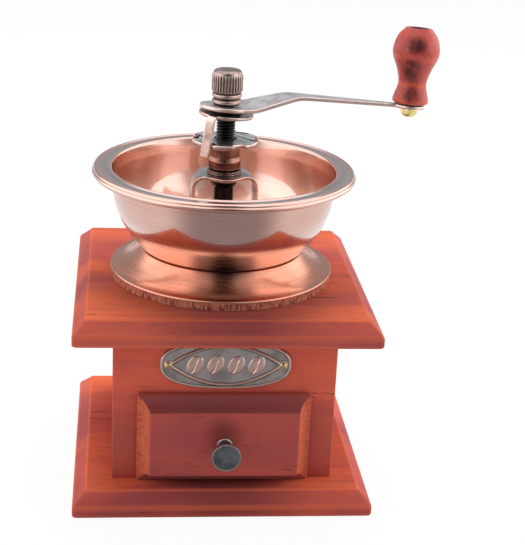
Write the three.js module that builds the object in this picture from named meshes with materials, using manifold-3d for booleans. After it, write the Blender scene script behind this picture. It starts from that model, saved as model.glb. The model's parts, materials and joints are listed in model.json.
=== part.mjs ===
// Manual coffee grinder: a wooden box mill with a drawer, an open copper hopper and a crank on top.
// Millimetres. +Z is up, -Y is the drawer side. The origin is the middle of the base board's underside.
import * as THREE from "three";
import { mergeVertices } from "three/addons/utils/BufferGeometryUtils.js";
import Module from "manifold-3d";

const wasm = await Module();
wasm.setup();

// Clearances
const FIT = 0.3;
const RUNNING = 0.16;
const OVERCUT = 1;

// Facets round a full turn
const FINE = 48;
const MEDIUM = 28;
const COARSE = 20;
const SMALL = 10;
const WHEEL_FACETS = 36;

// Base board and top board
const BOARD_WIDTH = 130;
const BOARD_THICKNESS = 10.7;
const BOARD_EDGE = 4.8;
const BOARD_BEVEL = 5.9;
const BOARD_EDGE_ROUND = 1;

// Box between the boards
const BOARD_OVERHANG = 16.8;
const BOX_HEIGHT = 68.6;
const BOX_WALL = 7;
const BOX_CORNER_ROUND = 1;

// Drawer
const DRAWER_FRONT_MARGIN = 10.6;
const DRAWER_FRONT_THICKNESS = 9.6;
const DRAWER_FRONT_EDGE = 2.4;
const DRAWER_FRONT_COVE = 5.1;
const DRAWER_LAP = 4.2;
const DRAWER_BOARD = 4.5;
const DRAWER_FLOOR = 3;
const DRAWER_TAIL_ROOM = 2.8;
const GUIDE_WIDTH = 5;
const GUIDE_HEIGHT = 8;

// Drawer knob
const KNOB_RADIUS = 6.25;
const KNOB_STEM_RADIUS = 3;
const KNOB_REACH = 12;
const KNOB_HEAD = 2.3;
const KNOB_EDGE_ROUND = 0.6;
const KNOB_FILLET = 0.8;
const KNOB_SCREW_RADIUS = 1.5;
const KNOB_SCREW_HEAD_RADIUS = 3.4;
const KNOB_SCREW_HEAD = 1.8;
const KNOB_SCREW_GRIP = 5;

// Badge plate on the front
const BADGE_WIDTH = 56.5;
const BADGE_HEIGHT = 22.4;
const BADGE_THICKNESS = 1.1;
const BADGE_ROOM_ABOVE = 3;
const BADGE_ROOM_BELOW = 2.1;
const BADGE_FULLNESS = 2.45;
const BADGE_RIM = 0.9;
const BADGE_RELIEF = 0.7;
const BADGE_LENS_HEIGHT = 19;
const BADGE_BEANS = 4;
const BADGE_BEAN_LENGTH = 9.2;
const BADGE_BEAN_WIDTH = 6.4;
const BADGE_BEAN_PITCH = 8.8;
const BADGE_BEAN_TURN_DEG = 62;
const NAIL_SPACING = 49.2;
const NAIL_HEAD_RADIUS = 1.35;
const NAIL_HEAD = 0.8;
const NAIL_HEAD_RIM = 0.27;
const NAIL_RADIUS = 0.6;
const NAIL_LENGTH = 6;

// Collar under the hopper
const COLLAR_RADIUS = 49.8;
const COLLAR_SKIRT = 4.2;
const COLLAR_EDGE_ROUND = 0.9;
const COLLAR_COVE_START = 48.4;
const COLLAR_COVE_CURVE = 1.7;
const COLLAR_WALL = 1.2;
const COLLAR_LIP = 0.6;

// Hopper bowl
const BOWL_FLOOR_RADIUS = 32.9;
const BOWL_FOOT_RADIUS = 35.6;
const BOWL_FOOT_RISE = 2.7;
const BOWL_MOUTH_RADIUS = 49.6;
const BOWL_DEPTH = 34.4;
const BOWL_CURVE = 2.5;
const BOWL_WALL = 1.2;
const BOWL_LIP_ROUND = 1.6;
const RIM_RADIUS = 58.4;
const RIM_HEIGHT = 2.4;
const RIM_ROLL_RADIUS = 1.6;

// Cast housing of the burrs
const HOUSING_FLANGE_RADIUS = 40;
const HOUSING_FLANGE = 3.2;
const HOUSING_BOSS_RADIUS = 31;
const HOUSING_BOSS = 5.4;
const HOUSING_BARREL_RADIUS = 28;
const HOUSING_BARREL = 24;
const HOUSING_LEDGE = 3;
const THROAT_RADIUS = 22;
const THROAT_NECK = 20;
const HOUSING_SCREW_CIRCLE = 35.6;
const HOUSING_SCREW_COUNT = 3;

// Burrs
const RING_BURR_RADIUS = 22;
const RING_BURR_TOP = 18.8;
const RING_BURR_BOTTOM = 17.9;
const RING_BURR_STRAIGHT = 7;
const BURR_TOP_RADIUS = 8.5;
const BURR_BOTTOM_RADIUS = 17.1;
const BURR_HEIGHT = 19.5;
const BURR_WAIST = 9;
const BURR_WAIST_RADIUS = 14.2;
const BURR_LIFT = 1.6;
const BURR_RIDGES = 12;
const BURR_RIDGE_DEPTH = 1.1;
const BURR_TWIST_DEG = 42;

// Bearing strap, spring and nut under the burrs
const STRAP_THICKNESS = 2.6;
const STRAP_WIDTH = 11;
const STRAP_LENGTH = 56;
const STRAP_BOSS_RADIUS = 8;
const STRAP_SCREW_SPACING = 50.4;
const SPRING_RADIUS = 6.2;
const SPRING_WIRE = 0.6;
const SPRING_TURNS = 4;
const SPRING_LENGTH = 7;
const SPRING_WASHER_RADIUS = 8;
const SPRING_WASHER = 1.2;
const TAIL_NUT_FLATS = 11;
const TAIL_NUT = 3.6;
const SHAFT_TAIL = 0.6;

// Shaft
const SHAFT_RADIUS = 4.3;
const THREAD_RADIUS = 4.15;
const THREAD_DEPTH = 0.62;
const THREAD_PITCH = 1.35;
const SHAFT_TOP_RADIUS = 3.3;
const SHAFT_TOP_REACH = 8;

// Bridge over the throat, with its bush
const BRIDGE_SPAN = 29.4;
const BRIDGE_HEIGHT = 35.4;
const BRIDGE_SHEET = 1.4;
const BRIDGE_SHOULDER = 6.5;
const BRIDGE_MIDDLE_WIDTH = 25.2;
const BRIDGE_MIDDLE_ROUND = 9;
const BRIDGE_MIDDLE_LENGTH = 6.4;
const BRIDGE_TAPER_INSET = 2;
const BRIDGE_LEG_WIDTH = 9.8;
const BRIDGE_FOOT_BEND = 2;
const BRIDGE_TURN_DEG = 3.5;
const BRIDGE_FOOT_REACH = 30.6;
const BRIDGE_SCREW_SPACING = 54;
const BUSH_RADIUS = 5.2;
const BUSH_FLANGE_RADIUS = 6.5;
const BUSH_FLANGE = 2.2;
const BUSH_NOSE = 2.1;
const BUSH_WALL = 0.5;

// Grind adjuster: thrust washer, sleeve and star wheel
const THRUST_WASHER_RADIUS = 7.6;
const THRUST_WASHER = 1.7;
const THRUST_WASHER_ROUND = 0.5;
const SLEEVE_LOWER_RADIUS = 7.1;
const SLEEVE_LOWER = 4.4;
const SLEEVE_UPPER_RADIUS = 6.5;
const SLEEVE_HEIGHT = 12.7;
const SLEEVE_FOOT_CHAMFER = 1;
const SLEEVE_SHOULDER = 1.7;
const SLEEVE_SPIGOT_RADIUS = 5.2;
const WHEEL_RADIUS = 14.75;
const WHEEL_SHEET = 1.2;
const WHEEL_RIM_DROP = 1.9;
const WHEEL_EDGE_ROUND = 0.7;
const WHEEL_NOTCHES = 6;
const WHEEL_NOTCH_FLOOR = 12.2;
const NOTCH_PLAY = 0.5;

// Head of the spindle: latch plate, spacer and crank, which lean a little on the thin end of the shaft
const HEAD_DROOP_DEG = 3.6;
const LATCH_TILT_DEG = 1.5;
const CRANK_TILT_DEG = 4.4;
const HEAD_RISE = 10.2;
const HEAD_PLAY = 0.7;
const HEAD_GAP = 0.45;
const LATCH_RADIUS = 12;
const LATCH_SHEET = 1.5;
const LATCH_TAB_WIDTH = 4.3;
const LATCH_TAB_BEND = 2.4;
const LATCH_EDGE_ROUND = 0.5;
const LATCH_TAB_DROP = 18;
const LATCH_TAB_OUTER = 14.1;
const LATCH_TAB_ANGLE_DEG = -123;
const LATCH_TAB_LEAN_DEG = -3;
const LATCH_TAB_SPLAY = 1;
const SPACER_RADIUS = 7;
const SPACER = 0.8;

// Crank arm
const CRANK_LENGTH = 80.3;
const CRANK_SHEET = 1.6;
const CRANK_HUB_RADIUS = 11.8;
const CRANK_RAMP_START = 7.6;
const CRANK_RAMP_RUN = 21;
const CRANK_RAMP_RISE = 7.2;
const CRANK_BEND_SKEW = 0.5;
const CRANK_BEND_ROUND = 9;
const CRANK_RAMP_WIDTH = 12;
const CRANK_NECK_WIDTH = 4.6;
const CRANK_END_RADIUS = 6.5;
const CRANK_HUB_FLARE = 1;
const CRANK_SIDE_ROUND = 30;
const CRANK_NECK_ROUND = 8;

// Knurled cap nut
const NUT_RADIUS = 6.8;
const NUT_FOOT_RADIUS = 5.9;
const NUT_NECK_RADIUS = 5.8;
const NUT_BEAD_RADIUS = 6.5;
const NUT_BEAD = 1.5;
const NUT_NECK = 5.4;
const NUT_KNURL = 8;
const NUT_DOME = 1.7;
const NUT_CROWN_RADIUS = 4.6;
const NUT_GROOVES = 32;
const NUT_GROOVE_DEPTH = 0.35;

// Grip with its bolt and acorn nut
const GRIP_HEIGHT = 32.9;
const GRIP_BASE_RADIUS = 7.3;
const GRIP_FLARE_RADIUS = 7.9;
const GRIP_FLARE_AT = 1.8;
const GRIP_WAIST_RADIUS = 6.2;
const GRIP_WAIST_AT = 8.8;
const GRIP_NECK_RADIUS = 7.5;
const GRIP_NECK_AT = 14.7;
const GRIP_CHEEK_RADIUS = 9.8;
const GRIP_CHEEK_AT = 20.2;
const GRIP_BULB_RADIUS = 10.2;
const GRIP_BULB_AT = 24;
const GRIP_BROW_RADIUS = 8.8;
const GRIP_BROW_AT = 29;
const GRIP_CROWN_RADIUS = 5.7;
const GRIP_HOLE_RADIUS = 4.1;
const GRIP_HOLE_DEPTH = 11;
const GRIP_LIFT = 0.5;
const GRIP_BOLT_RADIUS = 2.2;
const GRIP_BOLT_HEAD_RADIUS = 3.6;
const GRIP_BOLT_HEAD = 2.6;
const ACORN_FLATS = 6.6;
const ACORN_HEX = 2.2;
const ACORN_DOME = 1.6;
const ACORN_DOME_RADIUS = 3;

// Screws
const WOOD_SCREW_RADIUS = 1.7;
const WOOD_SCREW_HEAD_RADIUS = 3.5;
const WOOD_SCREW_HEAD = 2.2;
const BASE_SCREW_LENGTH = 26;
const BASE_SCREW_OFFSET = 30;
const HOUSING_SCREW_LENGTH = 7;
const MACHINE_SCREW_RADIUS = 1.9;
const MACHINE_SCREW_HEAD_RADIUS = 3.4;
const MACHINE_SCREW_HEAD = 2.1;
const MACHINE_SCREW_BITE = 5;
const STRAP_SCREW_RADIUS = 1.4;
const STRAP_SCREW_HEAD_RADIUS = 2.6;
const STRAP_SCREW_HEAD = 1.8;
const SCREW_HEAD_ROUND = 0.8;
const SCREW_HEAD_RIM = 0.6;
const SCREW_POINT = 1.4;

// Heights worked out from the sizes above
const BOX_BOTTOM = BOARD_THICKNESS;
const TOP_BOARD_BOTTOM = BOX_BOTTOM + BOX_HEIGHT;
const DECK = TOP_BOARD_BOTTOM + BOARD_THICKNESS;
const BOSS_TOP = DECK + HOUSING_FLANGE + HOUSING_BOSS;
const BOWL_BOTTOM = BOSS_TOP + COLLAR_WALL;
const BOWL_FLOOR_TOP = BOWL_BOTTOM + BOWL_WALL;
const BOWL_FOOT = BOWL_BOTTOM + BOWL_FOOT_RISE;
const BOWL_MOUTH = BOWL_FOOT + BOWL_DEPTH;
const BARREL_BOTTOM = DECK - HOUSING_BARREL;
const BRIDGE_TOP = BOWL_FLOOR_TOP + BRIDGE_HEIGHT;
const SLEEVE_BOTTOM = BRIDGE_TOP + THRUST_WASHER;
const WHEEL_BOTTOM = SLEEVE_BOTTOM + SLEEVE_HEIGHT;
const WHEEL_TOP = WHEEL_BOTTOM + WHEEL_SHEET;
const LATCH_BOTTOM = WHEEL_TOP + HEAD_RISE;
const LATCH_TOP = LATCH_BOTTOM + LATCH_SHEET;
const LATCH_MIDDLE = LATCH_BOTTOM + LATCH_SHEET / 2;
const SPACER_BOTTOM = LATCH_TOP + FIT / 2;
const CRANK_BOTTOM = SPACER_BOTTOM + SPACER + HEAD_GAP;
const CRANK_TOP = CRANK_BOTTOM + CRANK_SHEET;
const CRANK_MIDDLE = CRANK_BOTTOM + CRANK_SHEET / 2;
const ARM_TOP = CRANK_TOP + CRANK_RAMP_RISE;
const GRIP_BOTTOM = ARM_TOP + GRIP_LIFT;
const BOX_HALF = BOARD_WIDTH / 2 - BOARD_OVERHANG;
const BOX_INNER = BOX_HALF - BOX_WALL;
const BADGE_MIDDLE = TOP_BOARD_BOTTOM - BADGE_ROOM_ABOVE - BADGE_HEIGHT / 2;
const DRAWER_FRONT_HALF = BOX_HALF - DRAWER_FRONT_MARGIN;
const DRAWER_BOTTOM = BOX_BOTTOM + FIT;
const DRAWER_FRONT_TOP = BADGE_MIDDLE - BADGE_HEIGHT / 2 - BADGE_ROOM_BELOW;
const lean = (tiltDeg) =>
  new THREE.Euler(-THREE.MathUtils.degToRad(tiltDeg), THREE.MathUtils.degToRad(HEAD_DROOP_DEG), 0);
const UPRIGHT = new THREE.Vector3(0, 0, 1);
const slope = (turn) => Math.tan(UPRIGHT.clone().applyEuler(turn).angleTo(UPRIGHT));
const LATCH_LEAN = lean(LATCH_TILT_DEG);
const CRANK_LEAN = lean(CRANK_TILT_DEG);
const NUT_BOTTOM = CRANK_TOP + NUT_FOOT_RADIUS * slope(CRANK_LEAN) + FIT / 2;
const HEAD_HOLE_RADIUS = SHAFT_TOP_RADIUS + HEAD_PLAY;

// Finishes
const finish = (color, roughness, metalness) =>
  new THREE.MeshStandardMaterial({ color, roughness, metalness });
const cherryWood = finish(0xa84a38, 0.45, 0);
const plainWood = finish(0xb98a5a, 0.7, 0);
const gripWood = finish(0x7c2f2a, 0.35, 0);
const copper = finish(0xc98468, 0.3, 1);
const antiqueCopper = finish(0x8a6658, 0.38, 1);
const blackSteel = finish(0x1a1b1d, 0.5, 0.8);
const castIron = finish(0x4a4a4c, 0.65, 0.7);
const steel = finish(0xa9acb0, 0.35, 1);
const brass = finish(0xcdb25a, 0.3, 1);
const pewter = finish(0x6e6560, 0.45, 0.9);

// A closed three.js geometry as a solid, with its faces turned outwards
function solid(geometry) {
  const bare = geometry.index ? geometry.clone() : geometry;
  bare.deleteAttribute("normal");
  bare.deleteAttribute("uv");
  const merged = mergeVertices(bare);
  const places = merged.attributes.position.array;
  const corners = merged.index.array;
  const kept = [];
  let volume = 0;
  const [a, b, c] = [new THREE.Vector3(), new THREE.Vector3(), new THREE.Vector3()];
  for (let i = 0; i < corners.length; i += 3) {
    const [p, q, r] = [corners[i], corners[i + 1], corners[i + 2]];
    if (p === q || q === r || r === p) continue;
    kept.push(p, q, r);
    a.fromArray(places, 3 * p);
    b.fromArray(places, 3 * q);
    c.fromArray(places, 3 * r);
    volume += a.dot(b.cross(c));
  }
  if (volume < 0) kept.reverse();
  const mesh = new wasm.Mesh({
    numProp: 3,
    vertProperties: new Float32Array(places),
    triVerts: new Uint32Array(kept),
  });
  return new wasm.Manifold(mesh);
}

// A solid back as a three.js geometry
function geometryOf(body) {
  const mesh = body.getMesh();
  const geometry = new THREE.BufferGeometry();
  geometry.setAttribute("position", new THREE.BufferAttribute(mesh.vertProperties, 3));
  geometry.setIndex(new THREE.BufferAttribute(mesh.triVerts, 1));
  return geometry;
}

const joined = (...bodies) => bodies.reduce((whole, body) => whole.add(body));
const cut = (body, ...tools) => tools.reduce((rest, tool) => rest.subtract(tool), body);

// Corners [x, y, radius, steps] as points, where each corner that has a radius becomes an arc
function rounded(corners) {
  const points = [];
  corners.forEach(([x, y, radius = 0, steps = 4], i) => {
    const corner = new THREE.Vector2(x, y);
    if (radius <= 0) {
      points.push(corner);
      return;
    }
    const before = corners[(i + corners.length - 1) % corners.length];
    const after = corners[(i + 1) % corners.length];
    const back = new THREE.Vector2(before[0], before[1]).sub(corner);
    const ahead = new THREE.Vector2(after[0], after[1]).sub(corner);
    const cosine = back.dot(ahead) / back.length() / ahead.length();
    const half = Math.acos(THREE.MathUtils.clamp(cosine, -1, 1)) / 2;
    const room = 0.49 * Math.min(back.length(), ahead.length());
    const reach = Math.min(radius / Math.tan(half), room);
    back.setLength(reach);
    ahead.setLength(reach);
    const centre = back.clone().add(ahead).setLength(reach / Math.cos(half)).add(corner);
    const from = back.add(corner).sub(centre);
    const turn = Math.atan2(from.cross(ahead.add(corner).sub(centre)), from.dot(ahead));
    for (let k = 0; k <= steps; k += 1) {
      points.push(from.clone().rotateAround(new THREE.Vector2(), (turn * k) / steps).add(centre));
    }
  });
  return points;
}

// Points on an ellipse from one angle to another, in quarter turns from +X
function ellipse(x, y, radiusX, radiusY, from, to, steps) {
  return Array.from({ length: steps + 1 }, (_, k) => {
    const angle = ((from + ((to - from) * k) / steps) * Math.PI) / 2;
    return [x + radiusX * Math.cos(angle), y + radiusY * Math.sin(angle)];
  });
}

// A profile of corners [radius, height] turned round the Z axis
function turned(corners, segments = MEDIUM) {
  const points = rounded(corners);
  if (corners[0][0] > 0) points.push(points[0].clone());
  return solid(new THREE.LatheGeometry(points, segments).rotateX(Math.PI / 2));
}

// An outline of corners [x, y] drawn out along Z between two heights
function drawn(corners, bottom, top, holes = []) {
  const shape = new THREE.Shape(rounded(corners));
  shape.holes = holes.map((hole) => new THREE.Path(rounded(hole)));
  const geometry = new THREE.ExtrudeGeometry(shape, { depth: top - bottom, bevelEnabled: false });
  return solid(geometry.translate(0, 0, bottom));
}

// An outline of corners [x, z] drawn out along Y between two places
function drawnAlongY(corners, front, back) {
  return drawn(corners, -back, -front).rotate([90, 0, 0]);
}

// An outline of corners [y, z] drawn out along X, the same both ways
function drawnAlongX(corners, width) {
  return drawn(corners, -width / 2, width / 2).rotate([90, 0, 90]);
}

const box = (left, right, front, back, bottom, top) =>
  drawn([[left, front], [right, front], [right, back], [left, back]], bottom, top);

const cylinder = (radius, bottom, top, segments = MEDIUM) =>
  turned([[0, bottom], [radius, bottom], [radius, top], [0, top]], segments);

const polygon = (flats, sides) =>
  Array.from({ length: sides }, (_, k) => {
    const angle = (2 * Math.PI * (k + 0.5)) / sides;
    const radius = flats / 2 / Math.cos(Math.PI / sides);
    return [radius * Math.cos(angle), radius * Math.sin(angle)];
  });

// A round body with ridges that wind round it: levels [radius, height], thinnest between the ridges
function fluted(levels, depth) {
  const sides = 2 * BURR_RIDGES;
  const height = levels.at(-1)[1] - levels[0][1];
  const twist = THREE.MathUtils.degToRad(BURR_TWIST_DEG) / height;
  const places = [];
  const faces = [];
  for (const [radius, z] of levels) {
    for (let k = 0; k < sides; k += 1) {
      const angle = (2 * Math.PI * k) / sides + twist * (z - levels[0][1]);
      const out = k % 2 ? radius - depth : radius;
      places.push(out * Math.cos(angle), out * Math.sin(angle), z);
    }
  }
  for (let level = 0; level + 1 < levels.length; level += 1) {
    for (let k = 0; k < sides; k += 1) {
      const here = level * sides + k;
      const next = level * sides + ((k + 1) % sides);
      faces.push(here, next, next + sides, here, next + sides, here + sides);
    }
  }
  const top = (levels.length - 1) * sides;
  places.push(0, 0, levels[0][1], 0, 0, levels.at(-1)[1]);
  for (let k = 0; k < sides; k += 1) {
    const next = (k + 1) % sides;
    faces.push(next, k, levels.length * sides, top + k, top + next, levels.length * sides + 1);
  }
  const geometry = new THREE.BufferGeometry();
  geometry.setAttribute("position", new THREE.Float32BufferAttribute(places, 3));
  geometry.setIndex(faces);
  return solid(geometry);
}

const grinder = new THREE.Group();
const drawer = new THREE.Group();
const spindle = new THREE.Group();
const latch = new THREE.Group();
const handle = new THREE.Group();
grinder.add(drawer, spindle);
spindle.add(latch, handle);
latch.position.z = LATCH_MIDDLE;
latch.rotation.copy(LATCH_LEAN);
handle.position.z = CRANK_MIDDLE;
handle.rotation.copy(CRANK_LEAN);

// Names a piece and puts it in its group; the pieces of a leaning group are drawn upright at their heights
function piece(group, name, material, body) {
  const mesh = new THREE.Mesh(geometryOf(body), material);
  mesh.name = name;
  mesh.position.z = -group.position.z;
  group.add(mesh);
  return mesh;
}

// Base board and top board: a bevel on all four sides, mitred where the bevels meet
function board(bottom) {
  const half = BOARD_WIDTH / 2;
  const outline = [
    [-half, bottom, BOARD_EDGE_ROUND, 1],
    [half, bottom, BOARD_EDGE_ROUND, 1],
    [half, bottom + BOARD_EDGE, BOARD_EDGE_ROUND, 1],
    [half - BOARD_BEVEL, bottom + BOARD_THICKNESS],
    [-half + BOARD_BEVEL, bottom + BOARD_THICKNESS],
    [-half, bottom + BOARD_EDGE, BOARD_EDGE_ROUND, 1],
  ];
  return drawnAlongY(outline, -half, half).intersect(drawnAlongX(outline, BOARD_WIDTH));
}

// A flat-headed wood screw pointing up, head down, in the middle of a side panel's end grain
const baseScrewPlaces = [-1, 1].flatMap((x) => [-1, 1].map((y) => [x, y]));
const baseScrewX = BOX_HALF - BOX_WALL / 2;

function baseScrew(spare = 0) {
  const rim = WOOD_SCREW_HEAD_RADIUS + spare;
  const shank = WOOD_SCREW_RADIUS + spare;
  const sunk = FIT;
  const floor = spare ? -OVERCUT : sunk;
  return turned([
    [0, floor],
    [rim, floor],
    [rim, sunk + SCREW_HEAD_RIM],
    [shank, sunk + WOOD_SCREW_HEAD],
    [shank, BASE_SCREW_LENGTH + spare],
    [0, BASE_SCREW_LENGTH + 2 * spare + SCREW_POINT],
  ], SMALL);
}

function atBaseScrews(body) {
  return baseScrewPlaces.map(([x, y]) => body.translate([x * baseScrewX, y * BASE_SCREW_OFFSET, 0]));
}

piece(grinder, "base_board", cherryWood, cut(board(0), ...atBaseScrews(baseScrew(FIT))));
baseScrewPlaces.forEach(([x, y], i) => {
  const name = `base_screw_${y < 0 ? "front" : "back"}_${x < 0 ? "left" : "right"}`;
  piece(grinder, name, steel, atBaseScrews(baseScrew())[i]);
});

const barrelHole = cylinder(HOUSING_BARREL_RADIUS + FIT, TOP_BOARD_BOTTOM - OVERCUT, DECK + OVERCUT, FINE);
const housingScrewAngles = Array.from(
  { length: HOUSING_SCREW_COUNT }, (_, k) => 90 + (360 * k) / HOUSING_SCREW_COUNT);

// A round-headed wood screw pointing down from a seat height
function housingScrew(spare = 0) {
  const seat = DECK + HOUSING_FLANGE;
  const tip = seat - HOUSING_FLANGE - HOUSING_SCREW_LENGTH - spare;
  const body = turned([
    [0, tip],
    [WOOD_SCREW_RADIUS + spare, tip + SCREW_POINT],
    [WOOD_SCREW_RADIUS + spare, seat],
    [WOOD_SCREW_HEAD_RADIUS, seat],
    [WOOD_SCREW_HEAD_RADIUS, seat + SCREW_HEAD_RIM],
    [0, seat + WOOD_SCREW_HEAD],
  ], SMALL);
  return body.translate([HOUSING_SCREW_CIRCLE, 0, 0]);
}

const atHousingScrews = (body) => housingScrewAngles.map((angle) => body.rotate([0, 0, angle]));

piece(grinder, "top_board", cherryWood,
  cut(board(TOP_BOARD_BOTTOM), barrelHole, ...atHousingScrews(housingScrew(FIT))));

// Box: the front and back run the full width and the sides stand between them
const openingHalf = DRAWER_FRONT_HALF - DRAWER_LAP;
const openingTop = DRAWER_FRONT_TOP - DRAWER_LAP;
const nailHole = (x) =>
  cylinder(NAIL_RADIUS + FIT, -OVERCUT, NAIL_LENGTH + FIT, SMALL)
    .rotate([-90, 0, 0])
    .translate([x, -BOX_HALF, BADGE_MIDDLE]);

function panel(outer) {
  const inner = outer + (outer < 0 ? BOX_WALL : -BOX_WALL);
  return drawn([
    [-BOX_HALF, outer, BOX_CORNER_ROUND, 2],
    [BOX_HALF, outer, BOX_CORNER_ROUND, 2],
    [BOX_HALF, inner],
    [-BOX_HALF, inner],
  ], BOX_BOTTOM, TOP_BOARD_BOTTOM);
}

const drawerOpening = box(
  -openingHalf, openingHalf, -BOX_HALF - OVERCUT, -BOX_INNER + OVERCUT, BOX_BOTTOM - OVERCUT, openingTop);
piece(grinder, "box_front", cherryWood,
  cut(panel(-BOX_HALF), drawerOpening, nailHole(-NAIL_SPACING / 2), nailHole(NAIL_SPACING / 2)));
piece(grinder, "box_back", cherryWood, panel(BOX_HALF));
for (const [name, side] of [["left", -1], ["right", 1]]) {
  const outer = Math.max(side * BOX_HALF, side * BOX_INNER);
  const inner = Math.min(side * BOX_HALF, side * BOX_INNER);
  const plain = box(inner, outer, -BOX_INNER, BOX_INNER, BOX_BOTTOM, TOP_BOARD_BOTTOM);
  piece(grinder, `box_side_${name}`, cherryWood, cut(plain, ...atBaseScrews(baseScrew(FIT))));
}

// Drawer, which slides on the base board between two guides
const drawerHalf = openingHalf - FIT;
const drawerTop = openingTop - FIT;
const drawerFrontBack = -BOX_HALF - FIT;
const drawerFace = drawerFrontBack - DRAWER_FRONT_THICKNESS;
const drawerTail = BOX_INNER - DRAWER_TAIL_ROOM;
const knobHeight = (DRAWER_BOTTOM + DRAWER_FRONT_TOP) / 2;

for (const [name, side] of [["left", -1], ["right", 1]]) {
  const near = side * openingHalf;
  const far = side * (openingHalf + GUIDE_WIDTH);
  const strip = box(
    Math.min(near, far), Math.max(near, far), -BOX_INNER, BOX_INNER, BOX_BOTTOM, BOX_BOTTOM + GUIDE_HEIGHT);
  piece(grinder, `drawer_guide_${name}`, plainWood, strip);
}

// Face outline across a width: a thin edge, then a hollow curve up to the raised field
function coved(low, high) {
  const depth = DRAWER_FRONT_THICKNESS - DRAWER_FRONT_EDGE;
  return [
    [low, 0],
    [high, 0],
    ...ellipse(high, -DRAWER_FRONT_THICKNESS, DRAWER_FRONT_COVE, depth, 1, 2, 6),
    ...ellipse(low, -DRAWER_FRONT_THICKNESS, DRAWER_FRONT_COVE, depth, 0, 1, 6),
  ];
}

function drawerFront() {
  const acrossWidth = drawn(
    coved(-DRAWER_FRONT_HALF, DRAWER_FRONT_HALF), DRAWER_BOTTOM, DRAWER_FRONT_TOP);
  const upright = drawnAlongX(
    coved(DRAWER_BOTTOM, DRAWER_FRONT_TOP).map(([z, y]) => [y, z]), 2 * DRAWER_FRONT_HALF);
  return acrossWidth.intersect(upright).translate([0, drawerFrontBack, 0]);
}

// Turned along -Y, outwards from the drawer's front at the knob's height
const atKnob = (body) => body.rotate([90, 0, 0]).translate([0, drawerFace, knobHeight]);
const knobScrewHole = atKnob(
  cylinder(KNOB_SCREW_RADIUS + FIT, -DRAWER_FRONT_THICKNESS - OVERCUT, KNOB_SCREW_GRIP + FIT, SMALL));

piece(drawer, "drawer_front", cherryWood, cut(drawerFront(), knobScrewHole));
for (const [name, side] of [["left", -1], ["right", 1]]) {
  const outer = side * drawerHalf;
  const inner = side * (drawerHalf - DRAWER_BOARD);
  const plank = box(
    Math.min(outer, inner), Math.max(outer, inner), drawerFrontBack, drawerTail, DRAWER_BOTTOM, drawerTop);
  piece(drawer, `drawer_side_${name}`, plainWood, plank);
}
const drawerInner = drawerHalf - DRAWER_BOARD;
const drawerBackFace = drawerTail - DRAWER_BOARD;
piece(drawer, "drawer_back", plainWood,
  box(-drawerInner, drawerInner, drawerBackFace, drawerTail, DRAWER_BOTTOM, drawerTop));
const drawerFloor = DRAWER_BOTTOM + DRAWER_FLOOR;
piece(drawer, "drawer_bottom", plainWood,
  box(-drawerInner, drawerInner, drawerFrontBack, drawerBackFace, DRAWER_BOTTOM, drawerFloor));

const knob = turned([
  [0, 0],
  [KNOB_STEM_RADIUS, 0],
  [KNOB_STEM_RADIUS, KNOB_REACH - KNOB_HEAD, KNOB_FILLET, 1],
  [KNOB_RADIUS, KNOB_REACH - KNOB_HEAD, KNOB_EDGE_ROUND, 1],
  [KNOB_RADIUS, KNOB_REACH, KNOB_EDGE_ROUND, 2],
  [0, KNOB_REACH],
], COARSE);
piece(drawer, "drawer_knob", pewter, cut(atKnob(knob), knobScrewHole));
const knobScrew = turned([
  [0, -DRAWER_FRONT_THICKNESS - KNOB_SCREW_HEAD],
  [KNOB_SCREW_HEAD_RADIUS, -DRAWER_FRONT_THICKNESS - KNOB_SCREW_HEAD, SCREW_HEAD_ROUND, 1],
  [KNOB_SCREW_HEAD_RADIUS, -DRAWER_FRONT_THICKNESS],
  [KNOB_SCREW_RADIUS, -DRAWER_FRONT_THICKNESS],
  [KNOB_SCREW_RADIUS, KNOB_SCREW_GRIP],
  [0, KNOB_SCREW_GRIP],
], SMALL);
piece(drawer, "drawer_knob_screw", steel, atKnob(knobScrew));

// Badge plate: a full oval with a raised lens from nail to nail and a row of coffee beans inside it
function oval(width, height, steps) {
  return Array.from({ length: steps }, (_, k) => {
    const angle = (2 * Math.PI * k) / steps;
    const power = 2 / BADGE_FULLNESS;
    const x = Math.sign(Math.cos(angle)) * Math.abs(Math.cos(angle)) ** power;
    const y = Math.sign(Math.sin(angle)) * Math.abs(Math.sin(angle)) ** power;
    return [(x * width) / 2, (y * height) / 2];
  });
}

function lens(width, height, steps) {
  const upper = Array.from({ length: steps }, (_, k) => {
    const along = (2 * k) / steps - 1;
    return [(along * width) / 2, ((1 - along ** 2) * height) / 2];
  });
  return [...upper, ...upper.map(([x, y]) => [-x, -y])];
}

const badgeTop = BADGE_THICKNESS + BADGE_RELIEF;
const onBadge = (body) =>
  body.rotate([90, 0, 0]).translate([0, -BOX_HALF, BADGE_MIDDLE]);
const atNails = (body) => [-1, 1].map((side) => body.translate([(side * NAIL_SPACING) / 2, 0, 0]));

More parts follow.
